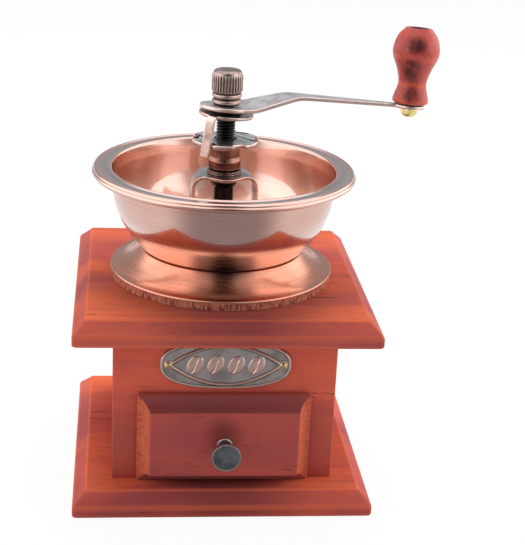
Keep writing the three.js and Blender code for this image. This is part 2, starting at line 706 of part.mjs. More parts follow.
function badge() {
  const plate = drawn(oval(BADGE_WIDTH, BADGE_HEIGHT, 40).reverse(), 0, BADGE_THICKNESS);
  const outer = lens(NAIL_SPACING, BADGE_LENS_HEIGHT, 10).reverse();
  const inner = lens(NAIL_SPACING - 4 * BADGE_RIM, BADGE_LENS_HEIGHT - 2 * BADGE_RIM, 10).reverse();
  const rim = cut(drawn(outer, 0, badgeTop), drawn(inner, -OVERCUT, badgeTop + OVERCUT));
  const behind = box(
    -BADGE_BEAN_LENGTH, BADGE_BEAN_LENGTH, -BADGE_BEAN_WIDTH, BADGE_BEAN_WIDTH, -2 * badgeTop, 0);
  const bean = solid(new THREE.SphereGeometry(1, 8, 4).rotateX(Math.PI / 2))
    .scale([BADGE_BEAN_LENGTH / 2, BADGE_BEAN_WIDTH / 2, badgeTop])
    .subtract(behind)
    .rotate([0, 0, BADGE_BEAN_TURN_DEG]);
  const beans = Array.from({ length: BADGE_BEANS }, (_, k) =>
    bean.translate([(k - (BADGE_BEANS - 1) / 2) * BADGE_BEAN_PITCH, 0, 0]));
  const holes = atNails(cylinder(NAIL_RADIUS + FIT, -OVERCUT, badgeTop + OVERCUT, SMALL));
  const seats = atNails(cylinder(NAIL_HEAD_RADIUS + FIT, BADGE_THICKNESS, badgeTop + OVERCUT, SMALL));
  return onBadge(cut(joined(plate, rim, ...beans), ...holes, ...seats));
}

piece(grinder, "badge_plate", pewter, badge());
const nail = turned([
  [0, -NAIL_LENGTH],
  [NAIL_RADIUS, -NAIL_LENGTH + SCREW_POINT],
  [NAIL_RADIUS, BADGE_THICKNESS],
  [NAIL_HEAD_RADIUS, BADGE_THICKNESS],
  [NAIL_HEAD_RADIUS, BADGE_THICKNESS + NAIL_HEAD_RIM],
  [0, BADGE_THICKNESS + NAIL_HEAD],
], SMALL);
for (const [name, i] of [["left", 0], ["right", 1]]) {
  piece(grinder, `badge_nail_${name}`, brass, onBadge(atNails(nail)[i]));
}

// Screws that hold the bridge, the bowl and the collar down on the housing's boss
const bridgeFootTop = BOWL_FLOOR_TOP + BRIDGE_SHEET;

function bridgeScrew(spare = 0) {
  const radius = MACHINE_SCREW_RADIUS + spare;
  const tip = BOSS_TOP - MACHINE_SCREW_BITE - spare;
  return turned([
    [0, tip],
    [radius, tip],
    [radius, bridgeFootTop],
    [MACHINE_SCREW_HEAD_RADIUS, bridgeFootTop],
    [MACHINE_SCREW_HEAD_RADIUS, bridgeFootTop + MACHINE_SCREW_HEAD, SCREW_HEAD_ROUND, 1],
    [0, bridgeFootTop + MACHINE_SCREW_HEAD],
  ], SMALL);
}

const atBridgeScrews = (body) => [-1, 1].map((side) =>
  body.translate([(side * BRIDGE_SCREW_SPACING) / 2, 0, 0]).rotate([0, 0, BRIDGE_TURN_DEG]));
const bridgeScrewHoles = atBridgeScrews(bridgeScrew(FIT));

// Screws that hold the bearing strap up against the housing's barrel
function strapScrew(spare = 0) {
  const radius = STRAP_SCREW_RADIUS + spare;
  const seat = BARREL_BOTTOM - STRAP_THICKNESS;
  return turned([
    [0, seat - STRAP_SCREW_HEAD],
    [STRAP_SCREW_HEAD_RADIUS, seat - STRAP_SCREW_HEAD, SCREW_HEAD_ROUND, 1],
    [STRAP_SCREW_HEAD_RADIUS, seat],
    [radius, seat],
    [radius, BARREL_BOTTOM + MACHINE_SCREW_BITE + spare],
    [0, BARREL_BOTTOM + MACHINE_SCREW_BITE + spare],
  ], SMALL);
}

const atStrapScrews = (body) =>
  [-1, 1].map((side) => body.translate([(side * STRAP_SCREW_SPACING) / 2, 0, 0]));
const strapScrewHoles = atStrapScrews(strapScrew(FIT));

// Housing: a flange on the top board, a boss under the bowl and a barrel down through the board
const ringTop = DECK - HOUSING_LEDGE;
const ringBore = RING_BURR_RADIUS + FIT;
const housing = turned([
  [THROAT_RADIUS, BOSS_TOP],
  [THROAT_NECK, ringTop + FIT],
  [ringBore, ringTop + FIT],
  [ringBore, BARREL_BOTTOM],
  [HOUSING_BARREL_RADIUS, BARREL_BOTTOM],
  [HOUSING_BARREL_RADIUS, DECK],
  [HOUSING_FLANGE_RADIUS, DECK],
  [HOUSING_FLANGE_RADIUS, DECK + HOUSING_FLANGE],
  [HOUSING_BOSS_RADIUS, DECK + HOUSING_FLANGE],
  [HOUSING_BOSS_RADIUS, BOSS_TOP],
], FINE);
piece(grinder, "burr_housing", castIron,
  cut(housing, ...atHousingScrews(housingScrew(FIT)), ...bridgeScrewHoles, ...strapScrewHoles));
atHousingScrews(housingScrew()).forEach((body, i) => piece(grinder, `housing_screw_${i + 1}`, steel, body));

// Collar: a skirt and a slope that steepens up to the lip that the bowl nests in
const coveTop = BOWL_FOOT - FIT;
const coveBottom = DECK + COLLAR_SKIRT;
const lipInner = BOWL_FOOT_RADIUS;
const lipOuter = lipInner + COLLAR_LIP;
const coveWidth = COLLAR_COVE_START - lipOuter;
const coveHeight = coveTop - coveBottom;

// Points on the slope between two shares of the way in, let down by a drop
function cove(from, to, drop, steps) {
  return Array.from({ length: steps + 1 }, (_, k) => {
    const share = from + ((to - from) * k) / steps;
    const height = coveBottom + coveHeight * share ** COLLAR_COVE_CURVE;
    return [COLLAR_COVE_START - coveWidth * share, height - drop];
  });
}

const coveBackEnd = ((BOSS_TOP + COLLAR_WALL - coveBottom) / coveHeight) ** (1 / COLLAR_COVE_CURVE);
const bowlSlope = (BOWL_FOOT_RADIUS - BOWL_FLOOR_RADIUS) / BOWL_FOOT_RISE;
const collar = turned([
  [THROAT_RADIUS, BOSS_TOP],
  ...cove(coveBackEnd, 0, COLLAR_WALL, 4),
  [COLLAR_COVE_START, DECK],
  [COLLAR_RADIUS, DECK],
  [COLLAR_RADIUS, DECK + COLLAR_SKIRT, COLLAR_EDGE_ROUND, 2],
  ...cove(0, 1, 0, 6),
  [lipInner, coveTop],
  [lipInner - bowlSlope * (coveTop - BOWL_BOTTOM), BOWL_BOTTOM],
  [THROAT_RADIUS, BOWL_BOTTOM],
], FINE);
piece(grinder, "hopper_collar", copper, cut(collar, ...bridgeScrewHoles));

// Hopper bowl: a flat floor with the throat in it, a round wall and a flat rim with a rolled edge
const wallSteps = 5;
const wallRadius = (rise) =>
  BOWL_FOOT_RADIUS + (BOWL_MOUTH_RADIUS - BOWL_FOOT_RADIUS) * (1 - (1 - rise) ** BOWL_CURVE);
const wallOutside = Array.from({ length: wallSteps + 1 }, (_, k) =>
  [wallRadius(k / wallSteps), BOWL_FOOT + (BOWL_DEPTH * k) / wallSteps]);
const wallInside = wallOutside.map(([radius, z], k) => {
  const before = wallOutside[Math.max(k - 1, 0)];
  const after = wallOutside[Math.min(k + 1, wallSteps)];
  const along = new THREE.Vector2(after[0] - before[0], after[1] - before[1]).normalize();
  return [radius - along.y * BOWL_WALL, z + along.x * BOWL_WALL];
}).reverse();
const rimTop = BOWL_MOUTH + RIM_HEIGHT;
const rollCentre = RIM_RADIUS - RIM_ROLL_RADIUS;
const bowl = turned([
  [THROAT_RADIUS, BOWL_BOTTOM],
  [BOWL_FLOOR_RADIUS - FIT, BOWL_BOTTOM],
  [BOWL_FOOT_RADIUS - FIT, BOWL_FOOT],
  ...wallOutside.slice(1),
  [BOWL_MOUTH_RADIUS + BOWL_LIP_ROUND, rimTop - BOWL_WALL],
  [rollCentre - RIM_ROLL_RADIUS, rimTop - BOWL_WALL],
  ...ellipse(rollCentre, rimTop - RIM_ROLL_RADIUS, RIM_ROLL_RADIUS, RIM_ROLL_RADIUS, -1.8, 1, 5),
  [BOWL_MOUTH_RADIUS + BOWL_LIP_ROUND, rimTop],
  ...wallInside.slice(0, -1),
  [BOWL_FLOOR_RADIUS - BOWL_WALL / 2, BOWL_FLOOR_TOP],
  [THROAT_RADIUS, BOWL_FLOOR_TOP],
], FINE);
piece(grinder, "hopper_bowl", copper, cut(bowl, ...bridgeScrewHoles));

// Burrs: the cone turns inside the ring, and both have winding ridges
const ringBurrCore = fluted([
  [RING_BURR_BOTTOM + BURR_RIDGE_DEPTH, BARREL_BOTTOM - OVERCUT],
  [RING_BURR_BOTTOM + BURR_RIDGE_DEPTH, BARREL_BOTTOM + RING_BURR_STRAIGHT],
  [RING_BURR_TOP + BURR_RIDGE_DEPTH, ringTop + OVERCUT],
], BURR_RIDGE_DEPTH);
piece(grinder, "ring_burr", castIron,
  cut(cylinder(RING_BURR_RADIUS, BARREL_BOTTOM, ringTop, FINE), ringBurrCore));

const burrBottom = BARREL_BOTTOM + BURR_LIFT;
const coneBurr = fluted([
  [BURR_BOTTOM_RADIUS, burrBottom],
  [BURR_WAIST_RADIUS, burrBottom + BURR_WAIST],
  [BURR_TOP_RADIUS, burrBottom + BURR_HEIGHT],
], BURR_RIDGE_DEPTH);
const shaftHole = (bottom, top) =>
  cylinder(SHAFT_RADIUS + RUNNING, bottom - OVERCUT, top + OVERCUT, COARSE);
piece(spindle, "cone_burr", castIron, cut(coneBurr, shaftHole(burrBottom, burrBottom + BURR_HEIGHT)));

// Bearing strap under the barrel, with the spring, washer and nut that pull the shaft down
const strapBottom = BARREL_BOTTOM - STRAP_THICKNESS;
const strap = joined(
  box(-STRAP_LENGTH / 2, STRAP_LENGTH / 2, -STRAP_WIDTH / 2, STRAP_WIDTH / 2, strapBottom, BARREL_BOTTOM),
  cylinder(STRAP_BOSS_RADIUS, strapBottom, BARREL_BOTTOM));
piece(grinder, "bearing_strap", steel,
  cut(strap, shaftHole(strapBottom, BARREL_BOTTOM), ...strapScrewHoles));
for (const [name, i] of [["left", 0], ["right", 1]]) {
  piece(grinder, `strap_screw_${name}`, steel, atStrapScrews(strapScrew())[i]);
}

const springTop = strapBottom - FIT;
const springBottom = springTop - SPRING_LENGTH;
const washerTop = springBottom - FIT;
const nutTop = washerTop - SPRING_WASHER;
const shaftBottom = nutTop - TAIL_NUT - SHAFT_TAIL;

class Coil extends THREE.Curve {
  getPoint(t, target = new THREE.Vector3()) {
    const angle = 2 * Math.PI * SPRING_TURNS * t;
    const height = springBottom + SPRING_WIRE + (SPRING_LENGTH - 2 * SPRING_WIRE) * t;
    return target.set(SPRING_RADIUS * Math.cos(angle), SPRING_RADIUS * Math.sin(angle), height);
  }
}

const wire = new THREE.Shape(polygon(2 * SPRING_WIRE, 5).map(([x, y]) => new THREE.Vector2(x, y)));
const spring = new THREE.ExtrudeGeometry(
  wire, { steps: 10 * SPRING_TURNS, extrudePath: new Coil(), bevelEnabled: false });
piece(spindle, "shaft_spring", steel, solid(spring));
piece(spindle, "spring_washer", steel,
  cut(cylinder(SPRING_WASHER_RADIUS, nutTop, washerTop, COARSE), shaftHole(nutTop, washerTop)));
piece(spindle, "tail_nut", steel,
  cut(drawn(polygon(TAIL_NUT_FLATS, 6), nutTop - TAIL_NUT, nutTop), shaftHole(nutTop - TAIL_NUT, nutTop)));

// Shaft: plain through the burrs and the bush, threaded where the sleeve screws, thinner through the head
const shoulder = LATCH_BOTTOM - THREAD_RADIUS * slope(LATCH_LEAN) - FIT;
const threadTurns = Math.floor((shoulder - WHEEL_BOTTOM) / THREAD_PITCH);
const threadStart = shoulder - threadTurns * THREAD_PITCH;
const shaftTop = NUT_BOTTOM + SHAFT_TOP_REACH;
const threadForm = Array.from({ length: threadTurns }, (_, k) => [
  [THREAD_RADIUS, threadStart + (k + 0.2) * THREAD_PITCH],
  [THREAD_RADIUS - THREAD_DEPTH, threadStart + (k + 0.6) * THREAD_PITCH],
]).flat();
piece(spindle, "shaft", blackSteel, turned([
  [0, shaftBottom],
  [SHAFT_RADIUS, shaftBottom],
  [SHAFT_RADIUS, BRIDGE_TOP + THRUST_WASHER],
  [THREAD_RADIUS, BRIDGE_TOP + THRUST_WASHER],
  ...threadForm,
  [THREAD_RADIUS, shoulder],
  [SHAFT_TOP_RADIUS, shoulder],
  [SHAFT_TOP_RADIUS, shaftTop],
  [0, shaftTop],
], COARSE));

// Bridge: one bent strap, feet out, wider over the shaft than at the legs
function bridge() {
  const leg = BRIDGE_SPAN / 2;
  const foot = BRIDGE_FOOT_REACH;
  const inner = leg - BRIDGE_SHEET;
  const right = [
    [foot, BOWL_FLOOR_TOP],
    [foot, bridgeFootTop],
    [leg, bridgeFootTop, BRIDGE_FOOT_BEND, 2],
    [leg, BRIDGE_TOP, BRIDGE_SHOULDER, 4],
  ];
  const rightInner = [
    [inner, BRIDGE_TOP - BRIDGE_SHEET, BRIDGE_SHOULDER - BRIDGE_SHEET, 4],
    [inner, BOWL_FLOOR_TOP, BRIDGE_FOOT_BEND, 2],
  ];
  const mirror = (points) => points.map(([x, ...rest]) => [-x, ...rest]).reverse();
  const side = [...right, ...mirror(right), ...mirror(rightInner), ...rightInner];
  const middle = BRIDGE_MIDDLE_WIDTH / 2;
  const narrow = BRIDGE_LEG_WIDTH / 2;
  const corner = BRIDGE_MIDDLE_LENGTH / 2;
  const taperEnd = leg - BRIDGE_TAPER_INSET;
  const bulge = BRIDGE_MIDDLE_ROUND;
  const near = [
    [-foot, -narrow],
    [-taperEnd, -narrow],
    [-corner, -middle, bulge, 2],
    [corner, -middle, bulge, 2],
    [taperEnd, -narrow],
    [foot, -narrow],
  ];
  const plan = [...near, ...near.map(([x, y, ...rest]) => [-x, -y, ...rest])];
  const strip = drawnAlongY(side, -middle - OVERCUT, middle + OVERCUT);
  return strip
    .intersect(drawn(plan, BOWL_FLOOR_TOP - OVERCUT, BRIDGE_TOP + OVERCUT))
    .rotate([0, 0, BRIDGE_TURN_DEG]);
}

const bushHole = cylinder(BUSH_RADIUS + FIT, BRIDGE_TOP - BRIDGE_SHEET - OVERCUT, BRIDGE_TOP + OVERCUT);
piece(grinder, "bridge", antiqueCopper, cut(bridge(), bushHole, ...bridgeScrewHoles));
for (const [name, i] of [["left", 0], ["right", 1]]) {
  piece(grinder, `bridge_screw_${name}`, steel, atBridgeScrews(bridgeScrew())[i]);
}
const bushTop = BRIDGE_TOP - BRIDGE_SHEET;
const bushBore = SHAFT_RADIUS + RUNNING;
piece(grinder, "bridge_bush", blackSteel, turned([
  [bushBore, BRIDGE_TOP],
  [bushBore, bushTop - BUSH_FLANGE - BUSH_NOSE],
  [bushBore + BUSH_WALL, bushTop - BUSH_FLANGE - BUSH_NOSE],
  [BUSH_FLANGE_RADIUS, bushTop - BUSH_FLANGE],
  [BUSH_FLANGE_RADIUS, bushTop],
  [BUSH_RADIUS, bushTop],
  [BUSH_RADIUS, BRIDGE_TOP],
], COARSE));

// Adjuster: the washer lies on the bridge, and the sleeve carries the star wheel
piece(spindle, "thrust_washer", antiqueCopper, turned([
  [bushBore, BRIDGE_TOP],
  [THRUST_WASHER_RADIUS, BRIDGE_TOP, THRUST_WASHER_ROUND, 1],
  [THRUST_WASHER_RADIUS, SLEEVE_BOTTOM, THRUST_WASHER_ROUND, 1],
  [bushBore, SLEEVE_BOTTOM],
], COARSE));
const sleeveBore = THREAD_RADIUS + RUNNING;
const shoulderBottom = SLEEVE_BOTTOM + SLEEVE_LOWER;
piece(spindle, "adjuster_sleeve", antiqueCopper, turned([
  [sleeveBore, SLEEVE_BOTTOM],
  [SLEEVE_LOWER_RADIUS - SLEEVE_FOOT_CHAMFER, SLEEVE_BOTTOM],
  [SLEEVE_LOWER_RADIUS, SLEEVE_BOTTOM + SLEEVE_FOOT_CHAMFER],
  [SLEEVE_LOWER_RADIUS, shoulderBottom],
  [SLEEVE_UPPER_RADIUS, shoulderBottom + SLEEVE_SHOULDER],
  [SLEEVE_UPPER_RADIUS, WHEEL_BOTTOM],
  [SLEEVE_SPIGOT_RADIUS, WHEEL_BOTTOM],
  [SLEEVE_SPIGOT_RADIUS, WHEEL_TOP],
  [sleeveBore, WHEEL_TOP],
], COARSE));

// Where the latch's tab stands at the wheel's height once the latch leans: the notches follow it
const tabDepth = LATCH_TOP - WHEEL_BOTTOM;
const tabAtWheel = new THREE.Vector3(
  LATCH_TAB_OUTER - LATCH_SHEET / 2 + (LATCH_TAB_SPLAY * tabDepth) / LATCH_TAB_DROP,
  Math.sin(THREE.MathUtils.degToRad(LATCH_TAB_LEAN_DEG)) * tabDepth,
  WHEEL_BOTTOM - LATCH_MIDDLE,
);
tabAtWheel.applyAxisAngle(UPRIGHT, THREE.MathUtils.degToRad(LATCH_TAB_ANGLE_DEG)).applyEuler(LATCH_LEAN);
const notchPhase = Math.atan2(tabAtWheel.y, tabAtWheel.x);

function starWheel() {
  const skin = WHEEL_RADIUS - WHEEL_SHEET;
  const dish = turned([
    [SLEEVE_SPIGOT_RADIUS + FIT, WHEEL_BOTTOM],
    [skin, WHEEL_BOTTOM],
    [skin, WHEEL_TOP - WHEEL_RIM_DROP],
    [WHEEL_RADIUS, WHEEL_TOP - WHEEL_RIM_DROP],
    [WHEEL_RADIUS, WHEEL_TOP, WHEEL_EDGE_ROUND, 1],
    [SLEEVE_SPIGOT_RADIUS + FIT, WHEEL_TOP],
  ], WHEEL_FACETS);
  const half = LATCH_TAB_WIDTH / 2 + NOTCH_PLAY;
  const low = WHEEL_TOP - WHEEL_RIM_DROP - OVERCUT;
  const notch = box(WHEEL_NOTCH_FLOOR, WHEEL_RADIUS + OVERCUT, -half, half, low, WHEEL_TOP + OVERCUT);
  const notches = Array.from({ length: WHEEL_NOTCHES }, (_, k) =>
    notch.rotate([0, 0, THREE.MathUtils.radToDeg(notchPhase) + (360 * k) / WHEEL_NOTCHES]));
  return cut(dish, ...notches);
}

piece(spindle, "star_wheel", antiqueCopper, starWheel());

// Latch plate: a round plate with a tab bent down into a notch of the star wheel
function latchPlate() {
  const inner = LATCH_TAB_OUTER - LATCH_SHEET;
  const root = LATCH_RADIUS - LATCH_TAB_WIDTH / 2;
  const side = [
    [root, LATCH_BOTTOM],
    [inner, LATCH_BOTTOM, LATCH_TAB_BEND - LATCH_SHEET, 1],
    [inner + LATCH_TAB_SPLAY, LATCH_TOP - LATCH_TAB_DROP],
    [LATCH_TAB_OUTER + LATCH_TAB_SPLAY, LATCH_TOP - LATCH_TAB_DROP],
    [LATCH_TAB_OUTER, LATCH_TOP, LATCH_TAB_BEND, 3],
    [root, LATCH_TOP],
  ];
  const tab = drawnAlongY(side, -LATCH_TAB_WIDTH / 2, LATCH_TAB_WIDTH / 2)
    .translate([0, 0, -LATCH_TOP])
    .rotate([LATCH_TAB_LEAN_DEG, 0, 0])
    .rotate([0, 0, LATCH_TAB_ANGLE_DEG])
    .translate([0, 0, LATCH_TOP]);
  const plate = turned([
    [0, LATCH_BOTTOM],
    [LATCH_RADIUS, LATCH_BOTTOM, LATCH_EDGE_ROUND, 1],
    [LATCH_RADIUS, LATCH_TOP, LATCH_EDGE_ROUND, 1],
    [0, LATCH_TOP],
  ]);
  return joined(plate, tab);
}

const headHole = (bottom, top) => cylinder(HEAD_HOLE_RADIUS, bottom - OVERCUT, top + OVERCUT, COARSE);
piece(latch, "latch_plate", antiqueCopper, cut(latchPlate(), headHole(LATCH_BOTTOM, LATCH_TOP)));
piece(latch, "head_spacer", blackSteel,
  cut(cylinder(SPACER_RADIUS, SPACER_BOTTOM, SPACER_BOTTOM + SPACER, COARSE),
    headHole(SPACER_BOTTOM, SPACER_BOTTOM + SPACER)));

// Crank: a flat hub, a ramp between two slanting bends and a level arm that narrows to the round end
function crank() {
  const lean = Math.atan2(CRANK_RAMP_RISE, CRANK_RAMP_RUN) / 2;
  const shift = CRANK_SHEET * Math.tan(lean);
  const start = -2 * CRANK_HUB_RADIUS;
  const end = CRANK_LENGTH + 2 * CRANK_END_RADIUS;
  const rampEnd = CRANK_RAMP_START + CRANK_RAMP_RUN;
  const side = [
    [start, CRANK_BOTTOM],
    [CRANK_RAMP_START + shift, CRANK_BOTTOM, CRANK_BEND_ROUND - CRANK_SHEET],
    [rampEnd + shift, ARM_TOP - CRANK_SHEET, CRANK_BEND_ROUND],
    [end, ARM_TOP - CRANK_SHEET],
    [end, ARM_TOP],
    [rampEnd, ARM_TOP, CRANK_BEND_ROUND + CRANK_SHEET],
    [CRANK_RAMP_START, CRANK_TOP, CRANK_BEND_ROUND],
    [start, CRANK_TOP],
  ];
  const strip = drawnAlongY(side, -CRANK_HUB_RADIUS - OVERCUT, CRANK_HUB_RADIUS + OVERCUT)
    .transform([1, 0, 0, 0, -CRANK_BEND_SKEW, 1, 0, 0, 0, 0, 1, 0, 0, 0, 0, 1]);
  const neck = CRANK_LENGTH - CRANK_END_RADIUS;
  const taper = [
    [0, -CRANK_HUB_RADIUS + CRANK_HUB_FLARE],
    [rampEnd, -CRANK_RAMP_WIDTH / 2, CRANK_SIDE_ROUND, 3],
    [neck, -CRANK_NECK_WIDTH / 2, CRANK_NECK_ROUND, 1],
    [CRANK_LENGTH, -CRANK_NECK_WIDTH / 2],
    [CRANK_LENGTH, CRANK_NECK_WIDTH / 2],
    [neck, CRANK_NECK_WIDTH / 2, CRANK_NECK_ROUND, 1],
    [rampEnd, CRANK_RAMP_WIDTH / 2, CRANK_SIDE_ROUND, 3],
    [0, CRANK_HUB_RADIUS - CRANK_HUB_FLARE],
  ];
  const [low, high] = [CRANK_BOTTOM - OVERCUT, ARM_TOP + OVERCUT];
  const plan = joined(
    cylinder(CRANK_HUB_RADIUS, low, high),
    drawn(taper, low, high),
    cylinder(CRANK_END_RADIUS, low, high, COARSE).translate([CRANK_LENGTH, 0, 0]));
  const boltHole = cylinder(GRIP_BOLT_RADIUS + FIT, low, high, SMALL).translate([CRANK_LENGTH, 0, 0]);
  return cut(strip.intersect(plan), headHole(CRANK_BOTTOM, CRANK_TOP), boltHole);
}

piece(handle, "crank_arm", antiqueCopper, crank());

// Cap nut: two beads, a knurled barrel and a flattened dome, closed on top
function capNut() {
  const knurlBottom = NUT_BOTTOM + NUT_NECK;
  const knurlTop = knurlBottom + NUT_KNURL;
  const knurl = Array.from({ length: 2 * NUT_GROOVES }, (_, k) => {
    const radius = k % 2 ? NUT_RADIUS - NUT_GROOVE_DEPTH : NUT_RADIUS;
    const angle = (Math.PI * k) / NUT_GROOVES;
    return [radius * Math.cos(angle), radius * Math.sin(angle)];
  });
  const bead = NUT_NECK / 2;
  const taper = (bead - NUT_BEAD) / 2;
  const body = turned([
    [0, NUT_BOTTOM],
    [NUT_FOOT_RADIUS, NUT_BOTTOM],
    [NUT_BEAD_RADIUS, NUT_BOTTOM + taper],
    [NUT_BEAD_RADIUS, NUT_BOTTOM + taper + NUT_BEAD],
    [NUT_NECK_RADIUS, NUT_BOTTOM + bead],
    [NUT_BEAD_RADIUS, NUT_BOTTOM + bead + taper],
    [NUT_BEAD_RADIUS, NUT_BOTTOM + bead + taper + NUT_BEAD],
    [NUT_NECK_RADIUS, knurlBottom],
    [NUT_NECK_RADIUS, knurlTop - OVERCUT],
    [NUT_RADIUS - NUT_GROOVE_DEPTH, knurlTop],
    ...ellipse(NUT_CROWN_RADIUS, knurlTop, NUT_RADIUS - NUT_CROWN_RADIUS, NUT_DOME, 0, 1, 3).slice(1),
    [0, knurlTop + NUT_DOME],
  ]);
  const bore = cylinder(HEAD_HOLE_RADIUS, NUT_BOTTOM - OVERCUT, shaftTop + OVERCUT, COARSE);
  return cut(joined(body, drawn(knurl, knurlBottom, knurlTop)), bore);
}

piece(spindle, "cap_nut", antiqueCopper, capNut());

// Grip: turned wood on a bolt through the arm's end, with an acorn nut below
const atGrip = (body) => body.translate([CRANK_LENGTH, 0, 0]);
const gripHoleFloor = GRIP_BOTTOM + GRIP_HEIGHT - GRIP_HOLE_DEPTH;

function gripBody() {
  const outline = new THREE.SplineCurve([
    [GRIP_BASE_RADIUS, 0],
    [GRIP_FLARE_RADIUS, GRIP_FLARE_AT],
    [GRIP_WAIST_RADIUS, GRIP_WAIST_AT],
    [GRIP_NECK_RADIUS, GRIP_NECK_AT],
    [GRIP_CHEEK_RADIUS, GRIP_CHEEK_AT],
    [GRIP_BULB_RADIUS, GRIP_BULB_AT],
    [GRIP_BROW_RADIUS, GRIP_BROW_AT],
    [GRIP_CROWN_RADIUS, GRIP_HEIGHT],
  ].map(([radius, rise]) => new THREE.Vector2(radius, GRIP_BOTTOM + rise)));
  const bore = GRIP_BOLT_RADIUS + FIT;
  return turned([
    [bore, GRIP_BOTTOM],
    ...outline.getPoints(21).map((point) => [point.x, point.y]),
    [GRIP_HOLE_RADIUS, GRIP_BOTTOM + GRIP_HEIGHT],
    [GRIP_HOLE_RADIUS, gripHoleFloor],
    [bore, gripHoleFloor],
  ], MEDIUM);
}

piece(handle, "grip", gripWood, atGrip(gripBody()));
const boltHeadBottom = gripHoleFloor + FIT;
const acornTop = ARM_TOP - CRANK_SHEET - FIT;
piece(handle, "grip_bolt", steel, atGrip(turned([
  [0, acornTop - ACORN_HEX],
  [GRIP_BOLT_RADIUS, acornTop - ACORN_HEX],
  [GRIP_BOLT_RADIUS, boltHeadBottom],
  [GRIP_BOLT_HEAD_RADIUS, boltHeadBottom],
  [GRIP_BOLT_HEAD_RADIUS, boltHeadBottom + GRIP_BOLT_HEAD, SCREW_HEAD_ROUND, 1],
  [0, boltHeadBottom + GRIP_BOLT_HEAD],
], SMALL)));
const acornDome = turned([
  [0, acornTop - ACORN_HEX - ACORN_DOME],
  ...ellipse(0, acornTop - ACORN_HEX, ACORN_DOME_RADIUS, ACORN_DOME, -1, 0, 3),
  [ACORN_DOME_RADIUS, acornTop - FIT],
  [0, acornTop - FIT],
], SMALL);
const acornHex = drawn(polygon(ACORN_FLATS, 6), acornTop - ACORN_HEX, acornTop);
const acornBore = cylinder(GRIP_BOLT_RADIUS + FIT, acornTop - ACORN_HEX - FIT, acornTop + OVERCUT, SMALL);
piece(handle, "acorn_nut", brass, atGrip(cut(joined(acornHex, acornDome), acornBore)));

export default grinder;
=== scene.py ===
# Looks of the manual coffee grinder. Sizes are in millimetres until a mesh is made, which is in metres.
import json
import math

import bmesh
import bpy
from mathutils import Euler, Matrix, Vector

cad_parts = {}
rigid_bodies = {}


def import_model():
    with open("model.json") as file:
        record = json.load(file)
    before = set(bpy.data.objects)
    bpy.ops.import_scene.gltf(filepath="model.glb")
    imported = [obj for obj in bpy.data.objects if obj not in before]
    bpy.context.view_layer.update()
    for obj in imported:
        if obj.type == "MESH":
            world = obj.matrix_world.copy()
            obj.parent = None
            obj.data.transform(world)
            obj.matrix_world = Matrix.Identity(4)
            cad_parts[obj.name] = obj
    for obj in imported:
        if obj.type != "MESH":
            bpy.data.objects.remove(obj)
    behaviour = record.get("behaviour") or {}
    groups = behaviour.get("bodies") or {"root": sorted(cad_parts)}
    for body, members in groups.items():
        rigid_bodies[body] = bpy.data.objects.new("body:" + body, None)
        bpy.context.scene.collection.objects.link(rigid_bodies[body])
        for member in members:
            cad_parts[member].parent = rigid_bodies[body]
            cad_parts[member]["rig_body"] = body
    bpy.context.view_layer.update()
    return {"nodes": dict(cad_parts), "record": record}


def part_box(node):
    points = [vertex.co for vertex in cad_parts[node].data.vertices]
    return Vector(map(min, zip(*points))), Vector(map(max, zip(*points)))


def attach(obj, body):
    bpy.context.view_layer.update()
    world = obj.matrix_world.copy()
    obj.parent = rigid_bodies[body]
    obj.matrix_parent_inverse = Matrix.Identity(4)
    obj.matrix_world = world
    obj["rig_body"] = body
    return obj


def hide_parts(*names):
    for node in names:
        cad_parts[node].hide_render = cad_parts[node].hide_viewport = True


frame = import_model()

MM = 0.001

# Camera, fitted to the photograph
CAMERA_PLACE = (-0.046366, -0.597328, 0.310247)
CAMERA_RIGHT = (0.99470108, -0.09254770, 0.04477380)
CAMERA_DOWN = (0.00982929, -0.34789999, -0.93748012)
CAMERA_FORWARD = (0.10233844, 0.93295258, -0.34514682)
FOCAL_PIXELS = 1406.564
IMAGE_HEIGHT = 545
SENSOR = 36

# Heights along the shaft
BOARD_THICKNESS = 10.7
TOP_BOARD_BOTTOM = 79.3
DECK = 90
BOSS_TOP = 98.6
BOWL_BOTTOM = 99.8
BOWL_FLOOR_TOP = 101
BOWL_FOOT = 102.5
WALL_RISE = 34.4
BRIDGE_TOP = 136.4
SLEEVE_BOTTOM = 138.1
WHEEL_BOTTOM = 150.8
WHEEL_TOP = 152
LATCH_BOTTOM = 162.2
LATCH_SHEET = 1.5
LATCH_TOP = LATCH_BOTTOM + LATCH_SHEET
LATCH_MIDDLE = LATCH_BOTTOM + LATCH_SHEET / 2
CRANK_SHEET = 1.6
CRANK_BOTTOM = LATCH_TOP + 0.15 + 0.8 + 0.45
CRANK_TOP = CRANK_BOTTOM + CRANK_SHEET
CRANK_MIDDLE = CRANK_BOTTOM + CRANK_SHEET / 2
CRANK_RISE = 7.2
ARM_TOP = CRANK_TOP + CRANK_RISE
GRIP_BOTTOM = ARM_TOP + 0.5
GRIP_LENGTH = 32.9
THREAD_BOTTOM = 149

# Radii, and reaches from the axis
THROAT = 22
SHAFT_RADIUS = 4.3
BUSH_BORE = 4.46
THIN_END = 3.3
CRANK_LENGTH = 80.3
TAB_REACH = 14.1
TAB_DROP = 18
NUT_RIBS = 32


# Colour as written on a screen to the linear one that a shader takes
def colour(code):
    parts = [int(code[i:i + 2], 16) / 255 for i in (0, 2, 4)]
    return tuple(c / 12.92 if c <= 0.04045 else ((c + 0.055) / 1.055) ** 2.4 for c in parts) + (1,)


def put(tree, kind, inputs=(), **settings):
    made = tree.nodes.new(kind)
    for key, value in settings.items():
        setattr(made, key, value)
    for key, value in dict(inputs).items():
        socket = made.inputs[key]
        if isinstance(value, bpy.types.NodeSocket):
            tree.links.new(value, socket)
        else:
            socket.default_value = value
    return made


